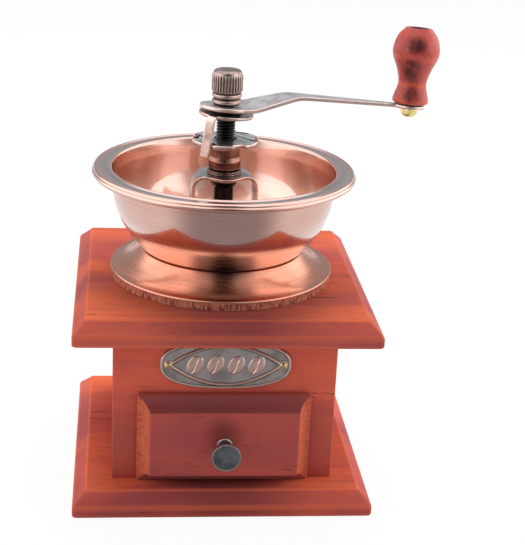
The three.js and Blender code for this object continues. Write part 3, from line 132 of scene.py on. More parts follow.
class Shader:
    """A material with a principled surface, and short calls for the nodes that feed it."""

    def __init__(self, name, **sockets):
        self.material = bpy.data.materials.new(name)
        self.material.use_nodes = True
        self.tree = self.material.node_tree
        self.surface = self.tree.nodes["Principled BSDF"]
        for key, value in sockets.items():
            self.surface.inputs[key.replace("_", " ")].default_value = value
        self.object_place = put(self.tree, "ShaderNodeTexCoord").outputs["Object"]

    def feed(self, socket, value):
        self.tree.links.new(value, self.surface.inputs[socket])

    def attribute(self, name):
        return put(self.tree, "ShaderNodeAttribute", attribute_name=name).outputs["Fac"]

    def scaled(self, scale, place=None, shift=(0, 0, 0)):
        inputs = {"Vector": place or self.object_place, "Scale": scale, "Location": shift}
        return put(self.tree, "ShaderNodeMapping", inputs).outputs["Vector"]

    def noise(self, place, scale=1, detail=3, roughness=0.5, distortion=0):
        inputs = {"Vector": place, "Scale": scale, "Detail": detail, "Roughness": roughness,
                  "Distortion": distortion}
        return put(self.tree, "ShaderNodeTexNoise", inputs).outputs["Fac"]

    def range(self, value, low, high, to_low=0, to_high=1):
        inputs = {"Value": value, "From Min": low, "From Max": high, "To Min": to_low, "To Max": to_high}
        return put(self.tree, "ShaderNodeMapRange", inputs, interpolation_type="SMOOTHSTEP").outputs["Result"]

    def math(self, operation, a, b=0.0, clamp=False):
        return put(self.tree, "ShaderNodeMath", {0: a, 1: b}, operation=operation, use_clamp=clamp).outputs[0]

    def mix(self, share, a, b):
        return put(self.tree, "ShaderNodeMix", {0: share, 6: a, 7: b}, data_type="RGBA").outputs[2]

    def bump(self, height, distance, strength=1.0, under=None):
        inputs = {"Height": height, "Distance": distance, "Strength": strength}
        if under is not None:
            inputs["Normal"] = under
        return put(self.tree, "ShaderNodeBump", inputs).outputs["Normal"]

    # Place round the upright axis: angle, radius and height, for marks that run round a turned piece
    def round_place(self):
        xyz = put(self.tree, "ShaderNodeSeparateXYZ", {0: self.object_place}).outputs
        angle = self.math("ARCTAN2", xyz["X"], self.math("MULTIPLY", xyz["Y"], -1.0))
        squares = self.math("ADD", self.math("MULTIPLY", xyz["X"], xyz["X"]),
                            self.math("MULTIPLY", xyz["Y"], xyz["Y"]))
        radius = self.math("SQRT", squares)
        return put(self.tree, "ShaderNodeCombineXYZ", {0: angle, 1: radius, 2: xyz["Z"]}).outputs[0]


def stretched(grain, along, across):
    return tuple(along if axis == grain else across for axis in "XYZ")


def wood(name, light, middle, dark, grain="X", shift=(0, 0, 0), roughness=0.5, streaks=1.0, painted_shade_below=None,
         painted_shadow=None):
    s = Shader(name, Specular_IOR_Level=0.06)
    patches = s.noise(s.scaled(stretched(grain, 12, 34), shift=shift), distortion=0.5)
    bands = s.noise(s.scaled(stretched(grain, 5, 170), shift=shift), detail=3, roughness=0.55, distortion=0.3)
    fibres = s.noise(s.scaled(stretched(grain, 45, 1100), shift=shift), detail=3, roughness=0.6)
    marks = s.noise(s.scaled(stretched(grain, 70, 900), shift=shift), detail=2, roughness=0.4, distortion=0.8)
    base = s.mix(s.range(patches, 0.36, 0.66), colour(light), colour(middle))
    base = s.mix(s.math("MULTIPLY", s.range(bands, 0.46, 0.72), 0.3 * streaks), base, colour(dark))
    base = s.mix(s.math("MULTIPLY", s.range(fibres, 0.5, 0.8), 0.28), base, colour(dark))
    base = s.mix(s.math("MULTIPLY", s.range(marks, 0.67, 0.73), 0.7), base, colour("3c1a1a"))
    deep = s.mix(s.range(patches, 0.3, 0.7), colour(middle), colour(dark))
    # On the boards the tone mark darkens the bevels and edges, partly as a darker stain and partly as painted
    # shade
    base = s.mix(s.attribute("tone"), base, deep)
    # Painted shade: the colour darkens towards the bottom, between the two given heights
    if painted_shade_below:
        height = put(s.tree, "ShaderNodeSeparateXYZ", {0: s.object_place}).outputs["Z"]
        base = s.mix(s.range(height, *painted_shade_below), base, deep)
    # Painted shadow: a soft dark patch round one point, fading out between near and far
    if painted_shadow:
        place, near, far, share, code = painted_shadow
        away = put(s.tree, "ShaderNodeVectorMath", {0: s.object_place, 1: place}, operation="DISTANCE")
        base = s.mix(s.range(away.outputs["Value"], near, far, share, 0), base, colour(code))
    base = s.mix(s.math("MULTIPLY", s.attribute("wear_and_highlight"), 0.3), base, colour(light))
    # Painted shade: the shade mark darkens the hollow curves of the drawer front
    base = s.mix(s.attribute("shade"), base, colour("5c3a3e"))
    end_grain = s.mix(s.range(fibres, 0.35, 0.75), colour("bd6040"), colour("94452f"))
    base = s.mix(s.attribute("ends"), base, end_grain)
    s.feed("Base Color", base)
    s.feed("Roughness", s.range(fibres, 0.2, 0.9, roughness - 0.06, roughness + 0.1))
    s.feed("Normal", s.bump(fibres, 0.00004, 0.45, s.bump(marks, 0.00004, 0.3)))
    return s.material


def brushed(name, base, pale, dark, coat=1.0):
    s = Shader(name, Anisotropic=0.3, Coat_Weight=coat, Coat_IOR=2.6, Coat_Roughness=0.07)
    s.feed("Tangent", put(s.tree, "ShaderNodeTangent", direction_type="RADIAL", axis="Z").outputs[0])
    place = s.round_place()
    broad = s.noise(s.scaled((0.6, 260, 260), place), detail=3, roughness=0.55)
    hair = s.noise(s.scaled((0.9, 1500, 1500), place), detail=2, roughness=0.6)
    blotch = s.noise(s.object_place, scale=26, detail=3)
    shade = s.mix(s.range(broad, 0.35, 0.7, 0, 0.35), colour(base), colour(pale))
    shade = s.mix(s.math("MULTIPLY", s.range(hair, 0.45, 0.75), 0.35), shade, colour(dark))
    shade = s.mix(s.math("MULTIPLY", s.range(blotch, 0.45, 0.8), 0.12), shade, colour(dark))
    # Painted light: the inside of the bowl is painted paler than the outside
    shade = s.mix(s.math("MULTIPLY", s.attribute("inner"), 0.7), shade, colour("f6b69c"))
    # Painted pale reflection round the bulge of the bowl's outside
    shade = s.mix(s.math("MULTIPLY", s.attribute("painted_pale_reflection"), 0.75), shade, colour("efdcd5"))
    specks = s.noise(s.scaled((900, 900, 260), s.object_place), detail=3, roughness=0.7)
    mottled = s.mix(s.range(specks, 0.42, 0.6), colour("d8947c"), colour("74402f"))
    shade = s.mix(s.attribute("streak"), shade, mottled)
    # Painted dark reflection at the front of the crease between bowl and collar
    shade = s.mix(s.attribute("painted_dark_reflection"), shade, colour("3a2420"))
    shade = s.mix(s.math("MULTIPLY", s.attribute("wear_and_highlight"), 0.5), shade, colour("b8806c"))
    # Painted grey reflection on the flat top of the rim
    shade = s.mix(s.attribute("painted_grey_reflection"), shade, colour("857f7f"))
    s.feed("Base Color", shade)
    matt = s.math("MULTIPLY", s.attribute("inner"), 0.1)
    matt = s.math("ADD", matt, s.math("MULTIPLY", s.attribute("streak"), 0.25))
    s.feed("Roughness", s.math("ADD", matt, s.range(hair, 0.3, 0.7, 0.2, 0.32)))
    s.feed("Metallic", s.math("SUBTRACT", 1.0, s.math("MULTIPLY", s.attribute("streak"), 0.5)))
    s.feed("Normal", s.bump(hair, 0.00001, 0.1, s.bump(specks, 0.0004, s.attribute("streak"))))
    return s.material


def antique(name, base, dark, worn, roughness=0.3, wear_and_highlight=1.0, spots=0.4):
    s = Shader(name, Metallic=1.0, Coat_Weight=0.1, Coat_Roughness=0.15)
    cloud = s.noise(s.object_place, scale=130, detail=5, roughness=0.6)
    grit = s.noise(s.object_place, scale=1300, detail=3, roughness=0.6)
    shade = s.mix(s.range(cloud, 0.38, 0.68), colour(base), colour(dark))
    shade = s.mix(s.math("MULTIPLY", s.range(grit, 0.52, 0.78), spots), shade, colour(worn))
    broken = s.range(s.noise(s.object_place, scale=420, detail=3), 0.36, 0.56, 0.45 * wear_and_highlight, wear_and_highlight)
    shade = s.mix(s.math("MULTIPLY", s.attribute("wear_and_highlight"), broken, clamp=True), shade, colour(worn))
    shade = s.mix(s.attribute("groove"), shade, colour("120e0c"))
    s.feed("Base Color", shade)
    s.feed("Roughness", s.range(cloud, 0.3, 0.75, roughness - 0.05, roughness + 0.12))
    s.feed("Normal", s.bump(grit, 0.00002, 0.3))
    return s.material


def grip_wood(name):
    s = Shader(name, Specular_IOR_Level=0.2, Coat_Weight=0.3, Coat_Roughness=0.12)
    flow = s.noise(s.scaled((150, 150, 30)), detail=4, roughness=0.6, distortion=0.6)
    patch = s.noise(s.scaled((260, 260, 160), shift=(3.4, 0.2, 0.1)), detail=3, roughness=0.6)
    fibres = s.noise(s.scaled((900, 900, 500)), detail=3, roughness=0.6)
    shade = s.mix(s.range(flow, 0.38, 0.68), colour("a43d3a"), colour("b54a3a"))
    # Painted highlight bands round the grip
    shade = s.mix(s.attribute("wear_and_highlight"), shade, colour("d0583c"))
    # Dark patches, partly burnt stain and partly painted dark reflection
    burn_and_dark_reflection = s.math("MULTIPLY", s.attribute("tone"), s.range(patch, 0.3, 0.6, 0.45, 1.0), clamp=True)
    shade = s.mix(burn_and_dark_reflection, shade, colour("46201f"))
    shade = s.mix(s.math("MULTIPLY", s.range(fibres, 0.45, 0.75), 0.4), shade, colour("4c1f22"))
    # Painted shade: near black in the grip's bore and on its underside
    shade = s.mix(s.attribute("groove"), shade, colour("0a0606"))
    s.feed("Base Color", shade)
    s.feed("Roughness", s.range(fibres, 0.3, 0.7, 0.38, 0.5))
    s.feed("Normal", s.bump(fibres, 0.00006, 0.5))
    return s.material


def plain_metal(name, base, dark, roughness, metallic=1.0, scale=300, coat=0.0):
    s = Shader(name, Metallic=metallic, Coat_Weight=coat, Coat_Roughness=0.15)
    cloud = s.noise(s.object_place, scale=scale, detail=4, roughness=0.6)
    shade = s.mix(s.range(cloud, 0.35, 0.75), colour(base), colour(dark))
    shade = s.mix(s.attribute("groove"), shade, colour("151312"))
    s.feed("Base Color", shade)
    s.feed("Roughness", s.range(cloud, 0.3, 0.75, roughness - 0.05, roughness + 0.12))
    s.feed("Normal", s.bump(cloud, 0.00003, 0.3))
    return s.material


# Painted shadows: in front of the collar on the top board, on the base in front of the drawer, and round the
# drawer knob
CHERRY_BOARD = wood("cherry_board", "ce6340", "a84e46", "7e3c42",
                    painted_shadow=((0.002, -0.047, 0.09), 0.008, 0.046, 0.8, "78393c"))
CHERRY_BASE = wood("cherry_base", "da6a46", "bc5448", "864044", shift=(4, 2, 7),
                   painted_shadow=((0.0, -0.054, 0.0107), 0.008, 0.042, 0.8, "6e3434"))
CHERRY_FRONT = wood("cherry_front", "cf6047", "b65048", "66393d", shift=(1, 5, 3), streaks=0.8,
                    painted_shade_below=(0.062, 0.024, 0, 0.85))
CHERRY_SIDE = wood("cherry_side", "b8503a", "a44438", "6c2e2b", grain="Y", shift=(2, 1, 4),
                   painted_shade_below=(0.062, 0.024, 0, 0.7))
CHERRY_DRAWER = wood("cherry_drawer", "b25046", "9c4846", "6c363a", shift=(8, 3, 1), streaks=0.5,
                     painted_shadow=((-0.0005, -0.0581, 0.0375), 0.001, 0.011, 0.55, "4a2426"))
DRAWER_WOOD = wood("drawer_wood", "d0a878", "c39766", "9c7348", grain="Y", roughness=0.6)
GRIP_WOOD = grip_wood("grip_wood")
COPPER = brushed("rose_copper", "cf907a", "daa896", "a66a56")
COLLAR_COPPER = brushed("collar_copper", "d68868", "dc9c82", "a6624a", coat=0.25)
ANTIQUE = antique("antique_copper", "c4bebc", "827876", "d8b2a4")
ANTIQUE_DARK = antique("antique_dark", "564946", "2e2624", "a07d71", roughness=0.26, wear_and_highlight=0.6)
ANTIQUE_BROWN = antique("antique_brown", "a87464", "5f3a30", "c49584", roughness=0.32, wear_and_highlight=0.5)
ANTIQUE_NUT = antique("antique_nut", "a4908a", "74605a", "ccaea4", roughness=0.34)
ANTIQUE_PALE = antique("antique_pale", "d4b8b0", "9f8078", "ecccc0", roughness=0.4, spots=0.6)
ANTIQUE_ARM = antique("antique_arm", "ebe6e6", "aea5a4", "e6c8bd", roughness=0.36, spots=0.3)
PEWTER = antique("antique_pewter", "ccc1bc", "a89e99", "f2ccbc", roughness=0.42, wear_and_highlight=1.5, spots=0.1)
KNOB_METAL = antique("knob_metal", "83878a", "5e6265", "b8a398", roughness=0.48, wear_and_highlight=0.7, spots=0.25)
BLACK_STEEL = plain_metal("black_steel", "1c1d20", "0e0f11", 0.28, metallic=0.85, coat=0.3)
CAST_IRON = plain_metal("cast_iron", "4c4b4c", "2e2d2e", 0.5, metallic=0.8, scale=900)
STEEL = plain_metal("zinc_steel", "b4b6ba", "8d8f94", 0.3)
BRASS = plain_metal("brass", "eede92", "c2a050", 0.22)

FINISHES = {
    "copper": COPPER, "antique_copper": ANTIQUE, "black_steel": BLACK_STEEL, "cast_iron": CAST_IRON,
    "steel": STEEL, "brass": BRASS, "pewter": PEWTER, "cherry_wood": CHERRY_FRONT, "plain_wood": DRAWER_WOOD,
    "grip_wood": GRIP_WOOD,
}
SLOTS = {row["node"]: row["material_slot"] for row in frame["record"]["subparts"]}


# Puts a finished mesh in the scene in place of its node, which keeps its body
def piece(name, node, points, faces, material, marks=None, turn=None, smooth_deg=38):
    mesh = bpy.data.meshes.new(name)
    mesh.from_pydata([Vector(p) * MM for p in points], [], faces)
    for mark, values in (marks or {}).items():
        layer = mesh.attributes.new(mark, "FLOAT", "POINT")
        layer.data.foreach_set("value", values)
    return finish_mesh(name, node, mesh, material, turn, smooth_deg)


def finish_mesh(name, node, mesh, material, turn=None, smooth_deg=38):
    work = bmesh.new()
    work.from_mesh(mesh)
    bmesh.ops.remove_doubles(work, verts=work.verts, dist=1e-7)
    bmesh.ops.recalc_face_normals(work, faces=work.faces)
    work.to_mesh(mesh)
    work.free()
    if turn is not None:
        mesh.transform(turn)
    mesh.shade_smooth()
    mesh.set_sharp_from_angle(angle=math.radians(smooth_deg))
    mesh.materials.append(material)
    made = bpy.data.objects.new(name, mesh)
    bpy.context.scene.collection.objects.link(made)
    body = frame["nodes"][node]["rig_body"]
    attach(made, body)
    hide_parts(node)
    return made


# Corners (a, b, radius) as points with a mark of 1 on each outer round, as two lists
def rounded(corners, closed=True, steps=5, reach=0.35):
    points = []
    marks = []
    count = len(corners)
    area = sum(corners[i - 1][0] * corners[i][1] - corners[i][0] * corners[i - 1][1] for i in range(count))
    for i, corner in enumerate(corners):
        here = Vector(corner[:2])
        radius = corner[2] if len(corner) > 2 else 0
        if radius <= 0 or (not closed and i in (0, count - 1)):
            points.append(here)
            marks.append(0.0)
            continue
        back = Vector(corners[i - 1][:2]) - here
        ahead = Vector(corners[(i + 1) % count][:2]) - here
        cosine = max(-1, min(1, back.dot(ahead) / back.length / ahead.length))
        half = math.acos(cosine) / 2
        length = min(radius / math.tan(half), 0.49 * min(back.length, ahead.length))
        back.normalize()
        ahead.normalize()
        centre = here + (back + ahead).normalized() * (length / math.cos(half))
        start = here + back * length - centre
        end = here + ahead * length - centre
        turn = math.atan2(start.x * end.y - start.y * end.x, start.dot(end))
        outer = 1.0 if turn * area > 0 else 0.0
        for k in range(steps + 1):
            angle = turn * k / steps
            points.append(centre + Vector((
                start.x * math.cos(angle) - start.y * math.sin(angle),
                start.x * math.sin(angle) + start.y * math.cos(angle))))
            marks.append(outer)
    return fade(points, marks, closed, reach)


# Adds points beside marked ones, so that each mark fades out over a short reach
def fade(points, marks, closed, reach):
    out = []
    values = []
    count = len(points)
    for i in range(count if closed else count - 1):
        a, b = points[i], points[(i + 1) % count]
        m, n = marks[i], marks[(i + 1) % count]
        length = (b - a).length
        out.append(a)
        values.append(m)
        if length > 2 * reach and (m > 0 or n > 0):
            if m > 0:
                out.append(a.lerp(b, reach / length))
                values.append(0.0)
            if n > 0:
                out.append(a.lerp(b, 1 - reach / length))
                values.append(0.0)
    if not closed:
        out.append(points[-1])
        values.append(marks[-1])
    return out, values


# A profile of (radius, height) points turned round the Z axis
def turned(profile, segments=96, closed=True):
    points = []
    faces = []
    rings = []
    for radius, height in profile:
        if radius < 1e-6:
            rings.append([len(points)])
            points.append((0, 0, height))
            continue
        rings.append(list(range(len(points), len(points) + segments)))
        for k in range(segments):
            angle = 2 * math.pi * k / segments
            points.append((radius * math.cos(angle), radius * math.sin(angle), height))
    pairs = [(i, i + 1) for i in range(len(profile) - 1)]
    if closed:
        pairs.append((len(profile) - 1, 0))
    for i, j in pairs:
        a, b = rings[i], rings[j]
        if len(a) == 1 and len(b) == 1:
            continue
        for k in range(segments):
            n = (k + 1) % segments
            if len(a) == 1:
                faces.append((a[0], b[n], b[k]))
            elif len(b) == 1:
                faces.append((a[k], a[n], b[0]))
            else:
                faces.append((a[k], a[n], b[n], b[k]))
    return points, faces, [len(ring) for ring in rings]


def spread(values, counts):
    return [value for value, count in zip(values, counts) for _ in range(count)]


# A turned piece from corners (radius, height, round), marked with wear on its outer rounds
def lathe(name, node, corners, material, segments=96, turn=None, extra=None, steps=4, smooth_deg=38, aside=0):
    profile, wear_and_highlight = rounded(corners, steps=steps)
    solid_core = corners[0][0] < 1e-6
    points, faces, counts = turned(profile, segments, closed=not solid_core)
    points = [(x + aside, y, z) for x, y, z in points]
    marks = {"wear_and_highlight": spread(wear_and_highlight, counts)}
    for mark, rule in (extra or {}).items():
        marks[mark] = [rule(*p) for p in points]
    return piece(name, node, points, faces, material, marks, turn, smooth_deg)


def arc(centre_a, centre_b, radius_a, radius_b, start, end, steps):
    return [(centre_a + radius_a * math.cos((start + (end - start) * k / steps) * math.pi / 2),
             centre_b + radius_b * math.sin((start + (end - start) * k / steps) * math.pi / 2))
            for k in range(steps + 1)]


# A ring of points round a rectangle with rounded corners
def rectangle_ring(half_x, half_y, corner, steps=5):
    ring = []
    for quarter, (sx, sy) in enumerate(((1, 1), (-1, 1), (-1, -1), (1, -1))):
        for k in range(steps + 1):
            angle = (quarter + k / steps) * math.pi / 2
            ring.append((sx * (half_x - corner) + corner * math.cos(angle),
                         sy * (half_y - corner) + corner * math.sin(angle)))
    return ring


# The outline moved inward by a distance, along the normal at each of its points
def moved_in(outline, distance):
    moved = []
    for i, point in enumerate(outline):
        along = outline[(i + 1) % len(outline)] - outline[i - 1]
        along.normalize()
        moved.append(point + Vector((-along.y, along.x)) * distance)
    return moved


# Turns and places a piece drawn lying on its back, so that it looks to the front
def facing_front(x, y, z):
    return Matrix.Translation(Vector((x, y, z)) * MM) @ Euler((math.pi / 2, 0, 0)).to_matrix().to_4x4()


# Eases the edges of nodes that keep their CAD mesh
def ease(nodes, width, angle):
    for node in nodes:
        bevel = frame["nodes"][node].modifiers.new("eased", "BEVEL")
        bevel.width = width * MM
        bevel.segments = 2
        bevel.limit_method = "ANGLE"
        bevel.angle_limit = math.radians(angle)


# Joins equal rings into a skin, with a cap at each end unless it closes on itself
def loft(rings, closed=False, cap=True):
    points = [p for ring in rings for p in ring]
    count = len(rings[0])
    faces = []
    for i in range(len(rings) if closed else len(rings) - 1):
        j = (i + 1) % len(rings)
        for k in range(count):
            n = (k + 1) % count
            faces.append((i * count + k, i * count + n, j * count + n, j * count + k))
    if cap and not closed:
        faces.append(tuple(range(count))[::-1])
        faces.append(tuple((len(rings) - 1) * count + k for k in range(count)))
    return points, faces


# Board with a bevel round its top, in levels from the underside up
def board(name, node, bottom, material, hole=0):
    half, edge, bevel, top = 65, 4.8, 5.9, BOARD_THICKNESS
    corners = [(0, 0), (half, 0, 1.1), (half, edge, 2.2), (half - bevel, top, 0.9), (0, top)]
    levels, wear_and_highlight = rounded(corners, closed=False, steps=5, reach=0.8)
    levels, wear_and_highlight = levels[1:-1], wear_and_highlight[1:-1]
    rings = []
    marks = []
    tones = []
    slant = (edge + 1.6, top - 0.8)
    for (reach, rise), mark in zip(levels, wear_and_highlight):
        corner = 1.6 if rise < top - 0.4 else 1.0
        ring = [(x, y, bottom + rise) for x, y in rectangle_ring(reach, reach, corner)]
        rings.append(ring)
        marks += [mark] * len(ring)
        # The bevel and the edge are darker, partly as a darker stain and partly as painted shade on the
        # slanting faces
        tones += [0.0 if rise > slant[1] else 0.75] * len(ring)
    if hole:
        count = len(rings[0])
        angles = [math.atan2(y, x) for x, y, z in rings[0]]
        low, high = ([(hole * math.cos(a), hole * math.sin(a), z) for a in angles]
                     for z in (bottom, bottom + top))
        rings = [low] + rings + [high]
        marks = [0.0] * count + marks + [0.0] * count
        tones = [0.0] * count + tones + [0.0] * count
    points, faces = loft(rings, closed=bool(hole), cap=not hole)
    return piece(name, node, points, faces, material, {"wear_and_highlight": marks, "tone": tones}, smooth_deg=50)


board("base_board_wood", "base_board", 0, CHERRY_BASE)
board("top_board_wood", "top_board", TOP_BOARD_BOTTOM, CHERRY_BOARD, hole=28.3)

# Box panels: outlines [x, z] drawn along Y, with all outer arrises eased
BOX_HALF = 48.2
BOX_WALL = 7
DRAWER_OPENING_HALF = 33.4
DRAWER_OPENING_TOP = 47.6


def eased_prism(name, node, outline, low, high, axis, material, ease):
    mesh = bpy.data.meshes.new(name)
    work = bmesh.new()
    place = {"X": lambda a, b, t: (t, a, b), "Y": lambda a, b, t: (a, t, b)}[axis]
    rows = [[work.verts.new(Vector(place(a, b, t)) * MM) for a, b in outline] for t in (low, high)]
    count = len(outline)
    work.faces.new(rows[0])
    work.faces.new(rows[1][::-1])
    for k in range(count):
        work.faces.new((rows[0][k], rows[1][k], rows[1][(k + 1) % count], rows[0][(k + 1) % count]))
    bmesh.ops.recalc_face_normals(work, faces=work.faces)
    wear_and_highlight = work.verts.layers.float.new("wear_and_highlight")
    made = bmesh.ops.bevel(work, geom=list(work.edges), offset=ease * MM, segments=3, profile=0.5,
                           affect="EDGES", clamp_overlap=True)
    for vert in made["verts"]:
        vert[wear_and_highlight] = 0.8
    work.to_mesh(mesh)
    work.free()
    return finish_mesh(name, node, mesh, material, smooth_deg=50)


lower, upper = BOARD_THICKNESS, TOP_BOARD_BOTTOM
front_outline = [
    (-BOX_HALF, lower), (-DRAWER_OPENING_HALF, lower), (-DRAWER_OPENING_HALF, DRAWER_OPENING_TOP),
    (DRAWER_OPENING_HALF, DRAWER_OPENING_TOP), (DRAWER_OPENING_HALF, lower), (BOX_HALF, lower),
    (BOX_HALF, upper), (-BOX_HALF, upper),
]
inner = BOX_HALF - BOX_WALL
eased_prism("box_front_wood", "box_front", front_outline, -BOX_HALF, -inner, "Y", CHERRY_FRONT, 0.5)
back_outline = [(-BOX_HALF, lower), (BOX_HALF, lower), (BOX_HALF, upper), (-BOX_HALF, upper)]
eased_prism("box_back_wood", "box_back", back_outline, inner, BOX_HALF, "Y", CHERRY_FRONT, 0.5)
side_outline = [(-inner, lower), (inner, lower), (inner, upper), (-inner, upper)]
for side, low, high in (("left", -BOX_HALF, -inner), ("right", inner, BOX_HALF)):
    eased_prism(f"box_side_{side}_wood", f"box_side_{side}", side_outline, low, high, "X", CHERRY_SIDE, 0.3)

# Drawer front: an edge, a hollow curve on each side and a raised field
FRONT_BACK = -48.5
FRONT_MIDDLE = 31.4
FRONT_HALF_X = 37.6
FRONT_HALF_Z = 20.4
FIELD_RISE = 9.6
profile = [(1.0, 0), (0.3, 0.3), (0, 1.0), (0, 1.9), (0.25, 2.4)]
profile += [(5.1 * math.cos(t), FIELD_RISE - 7.2 * math.sin(t))
            for t in [math.radians(84 - 7.4 * k) for k in range(11)]]
profile += [(5.3, 9.15), (5.65, 9.45), (6.2, FIELD_RISE)]
rings = []
wear_and_highlight = []
tone = []
ends = []
shade = []
for inset, depth in profile:
    corner = 1.3 if inset < 3 else 0.9
    ring = rectangle_ring(FRONT_HALF_X - inset, FRONT_HALF_Z - inset, corner)
    rings.append([(x, FRONT_BACK - depth, FRONT_MIDDLE + z) for x, z in ring])
    wear_and_highlight += [0.9 if depth < 2.2 and depth > 0.5 else 0.6 if 9.2 < depth < 9.55 else 0.0] * len(ring)
    in_cove = 2.4 <= depth < 9.3
    tone += [0.0 if in_cove else 0.2] * len(ring)
    beside = [abs(x) - (FRONT_HALF_X - FRONT_HALF_Z) > abs(z) for x, z in ring]
    ends += [0.85 if in_cove and side else 0.0 for side in beside]
    # Painted shade in the hollow curves above and below the field, darker above
    shade += [(0.6 if z > 0 else 0.4) if in_cove and not side else 0.0 for side, (x, z) in zip(beside, ring)]
points, faces = loft(rings)
piece("drawer_front_wood", "drawer_front", points, faces, CHERRY_DRAWER,
      {"wear_and_highlight": wear_and_highlight, "tone": tone, "ends": ends, "shade": shade}, smooth_deg=30)

ease(("drawer_side_left", "drawer_side_right", "drawer_back", "drawer_bottom", "drawer_guide_left",
      "drawer_guide_right"), 0.3, 30)

# Drawer knob, turned along -Y
KNOB_TURN = facing_front(0, FRONT_BACK - FIELD_RISE, FRONT_MIDDLE)
lathe("drawer_knob_metal", "drawer_knob", [
    (0, 0), (3.6, 0, 0.3), (3.5, 0.5, 0.3), (3, 1.1, 0.5), (3, 9.2, 1.0), (6.1, 9.8, 0.35), (6.25, 12, 0.6),
    (5.75, 12, 0.1), (5.6, 11.85, 0.15), (0, 11.85),
], KNOB_METAL, 96, KNOB_TURN)

# Badge: an oval plate with a raised edge, a raised lens from nail to nail and a row of coffee beans
BADGE_MIDDLE = 65.1
PLATE = 1.1
BADGE_HALF_X = 28.25
BADGE_HALF_Z = 11.2
LENS_HALF_X = 24.6
LENS_HALF_Z = 9.5


# Distance from the middle of the raised lens line, across it
def from_lens(x, z):
    half = LENS_HALF_Z * max(0.0, 1 - (x / LENS_HALF_X) ** 2)
    slope = LENS_HALF_Z * 2 * abs(x) / LENS_HALF_X ** 2
    return (abs(z) - half + 0.45) / math.sqrt(1 + slope * slope)


def ridge(distance, half, soft=0.22):
    return 1 / (1 + math.exp((abs(distance) - half) / (soft / 3)))


def bean_height(x, z, middle):
    turn = math.radians(62)
    u = (x - middle) * math.cos(turn) + z * math.sin(turn)
    v = -(x - middle) * math.sin(turn) + z * math.cos(turn)
    rest = 1 - (u / 4.6) ** 2 - (v / 3.2) ** 2
    if rest <= 0:
        return 0.0
    crease = v - 0.4 * math.sin(u * math.pi / 4.6)
    return 0.66 * rest ** 0.4 - 0.5 * math.exp(-(crease / 0.34) ** 2) * min(1.0, 3 * rest)


def badge_height(x, z, from_edge):
    edge = 0.3 * ridge(from_edge - 0.75, 0.4)
    lens = 0.62 * ridge(from_lens(x, z), 0.42) if abs(x) < LENS_HALF_X + 0.3 else 0.0
    beans = max(bean_height(x, z, middle) for middle in (-13.2, -4.4, 4.4, 13.2))
    seat = ridge(math.hypot(abs(x) - LENS_HALF_X, z), 1.9)
    return max(edge, lens * (1 - seat), beans, 0.35 * seat)


# Dark lines beside the raised lens and inside the raised edge
def badge_line(x, z, from_edge):
    beside = math.exp(-((abs(from_lens(x, z)) - 0.75) / 0.2) ** 2) if abs(x) < 23 else 0.0
    return min(0.75, 0.75 * beside + 0.6 * math.exp(-((from_edge - 1.45) / 0.25) ** 2))


def badge():
    around, out = 288, 110
    points = [(0.0, 0.0, PLATE + badge_height(0, 0, 11))]
    faces = []
    wear_and_highlight = [0.5]
    groove = [0.0]
    for ring in range(1, out + 1):
        share = ring / out
        for k in range(around):
            angle = 2 * math.pi * k / around
            power = 2 / 2.45
            ox = math.copysign(abs(math.cos(angle)) ** power, math.cos(angle)) * BADGE_HALF_X
            oz = math.copysign(abs(math.sin(angle)) ** power, math.sin(angle)) * BADGE_HALF_Z
            x, z = ox * share, oz * share
            from_edge = (1 - share) * min(math.hypot(ox, oz), BADGE_HALF_Z / max(0.25, abs(math.sin(angle))))
            height = badge_height(x, z, from_edge)
            drop = max(0.0, 0.35 - from_edge) / 0.35
            points.append((x, z, PLATE + height - 0.5 * drop * drop))
            wear_and_highlight.append(min(1.0, max(0.0, (height - 0.12) / 0.2)) if height > 0.1 else 0.0)
            groove.append(badge_line(x, z, from_edge))
    for k in range(around):
        faces.append((0, 1 + k, 1 + (k + 1) % around))
    for ring in range(out - 1):
        start = 1 + ring * around
        for k in range(around):
            n = (k + 1) % around
            faces.append((start + k, start + around + k, start + around + n, start + n))
    rim = 1 + (out - 1) * around
    base = len(points)
    for k in range(around):
        x, z, _ = points[rim + k]
        points.append((x, z, 0.0))
        wear_and_highlight.append(0.4)
        groove.append(0.0)
    for k in range(around):
        n = (k + 1) % around
        faces.append((rim + k, base + k, base + n, rim + n))
    faces.append(tuple(base + k for k in range(around)))
    piece("badge_plate_metal", "badge_plate", points, faces, PEWTER, {"wear_and_highlight": wear_and_highlight, "groove": groove},
          facing_front(0, -BOX_HALF, BADGE_MIDDLE), 60)
    for side, name in ((-1, "left"), (1, "right")):
        lathe(f"badge_nail_{name}_brass", f"badge_nail_{name}", [
            (0, -6), (0.6, -5), (0.6, PLATE), (1.35, PLATE, 0.1), (1.35, PLATE + 0.4, 0.4),
            (0.8, PLATE + 0.85, 0.3), (0.35, PLATE + 0.85, 0.1), (0, PLATE + 0.6),
        ], BRASS, 40, facing_front(side * LENS_HALF_X, -BOX_HALF, BADGE_MIDDLE),
            {"groove": lambda x, y, z: 0.8 if math.hypot(x, y) < 0.2 and z > 0 else 0.0})


badge()

# Hopper collar: a skirt and a slope that steepens up to the lip
def collar_slope(share):
    return 48.4 - 12.2 * share, 94.2 + 8 * share ** 1.7


# Painted dark reflection: a dark patch at the front of the crease between bowl and collar, standing in for
# the dark front of the room mirrored there
def painted_front_reflection(x, y, z):
    if y > 0 or z < BOSS_TOP - 3.4:
        return 0.0
    away = z - BOWL_FOOT
    return 0.88 * math.exp(-(x / 9.5) ** 2) * math.exp(-(away / (3.2 if away > 0 else 3.6)) ** 2)


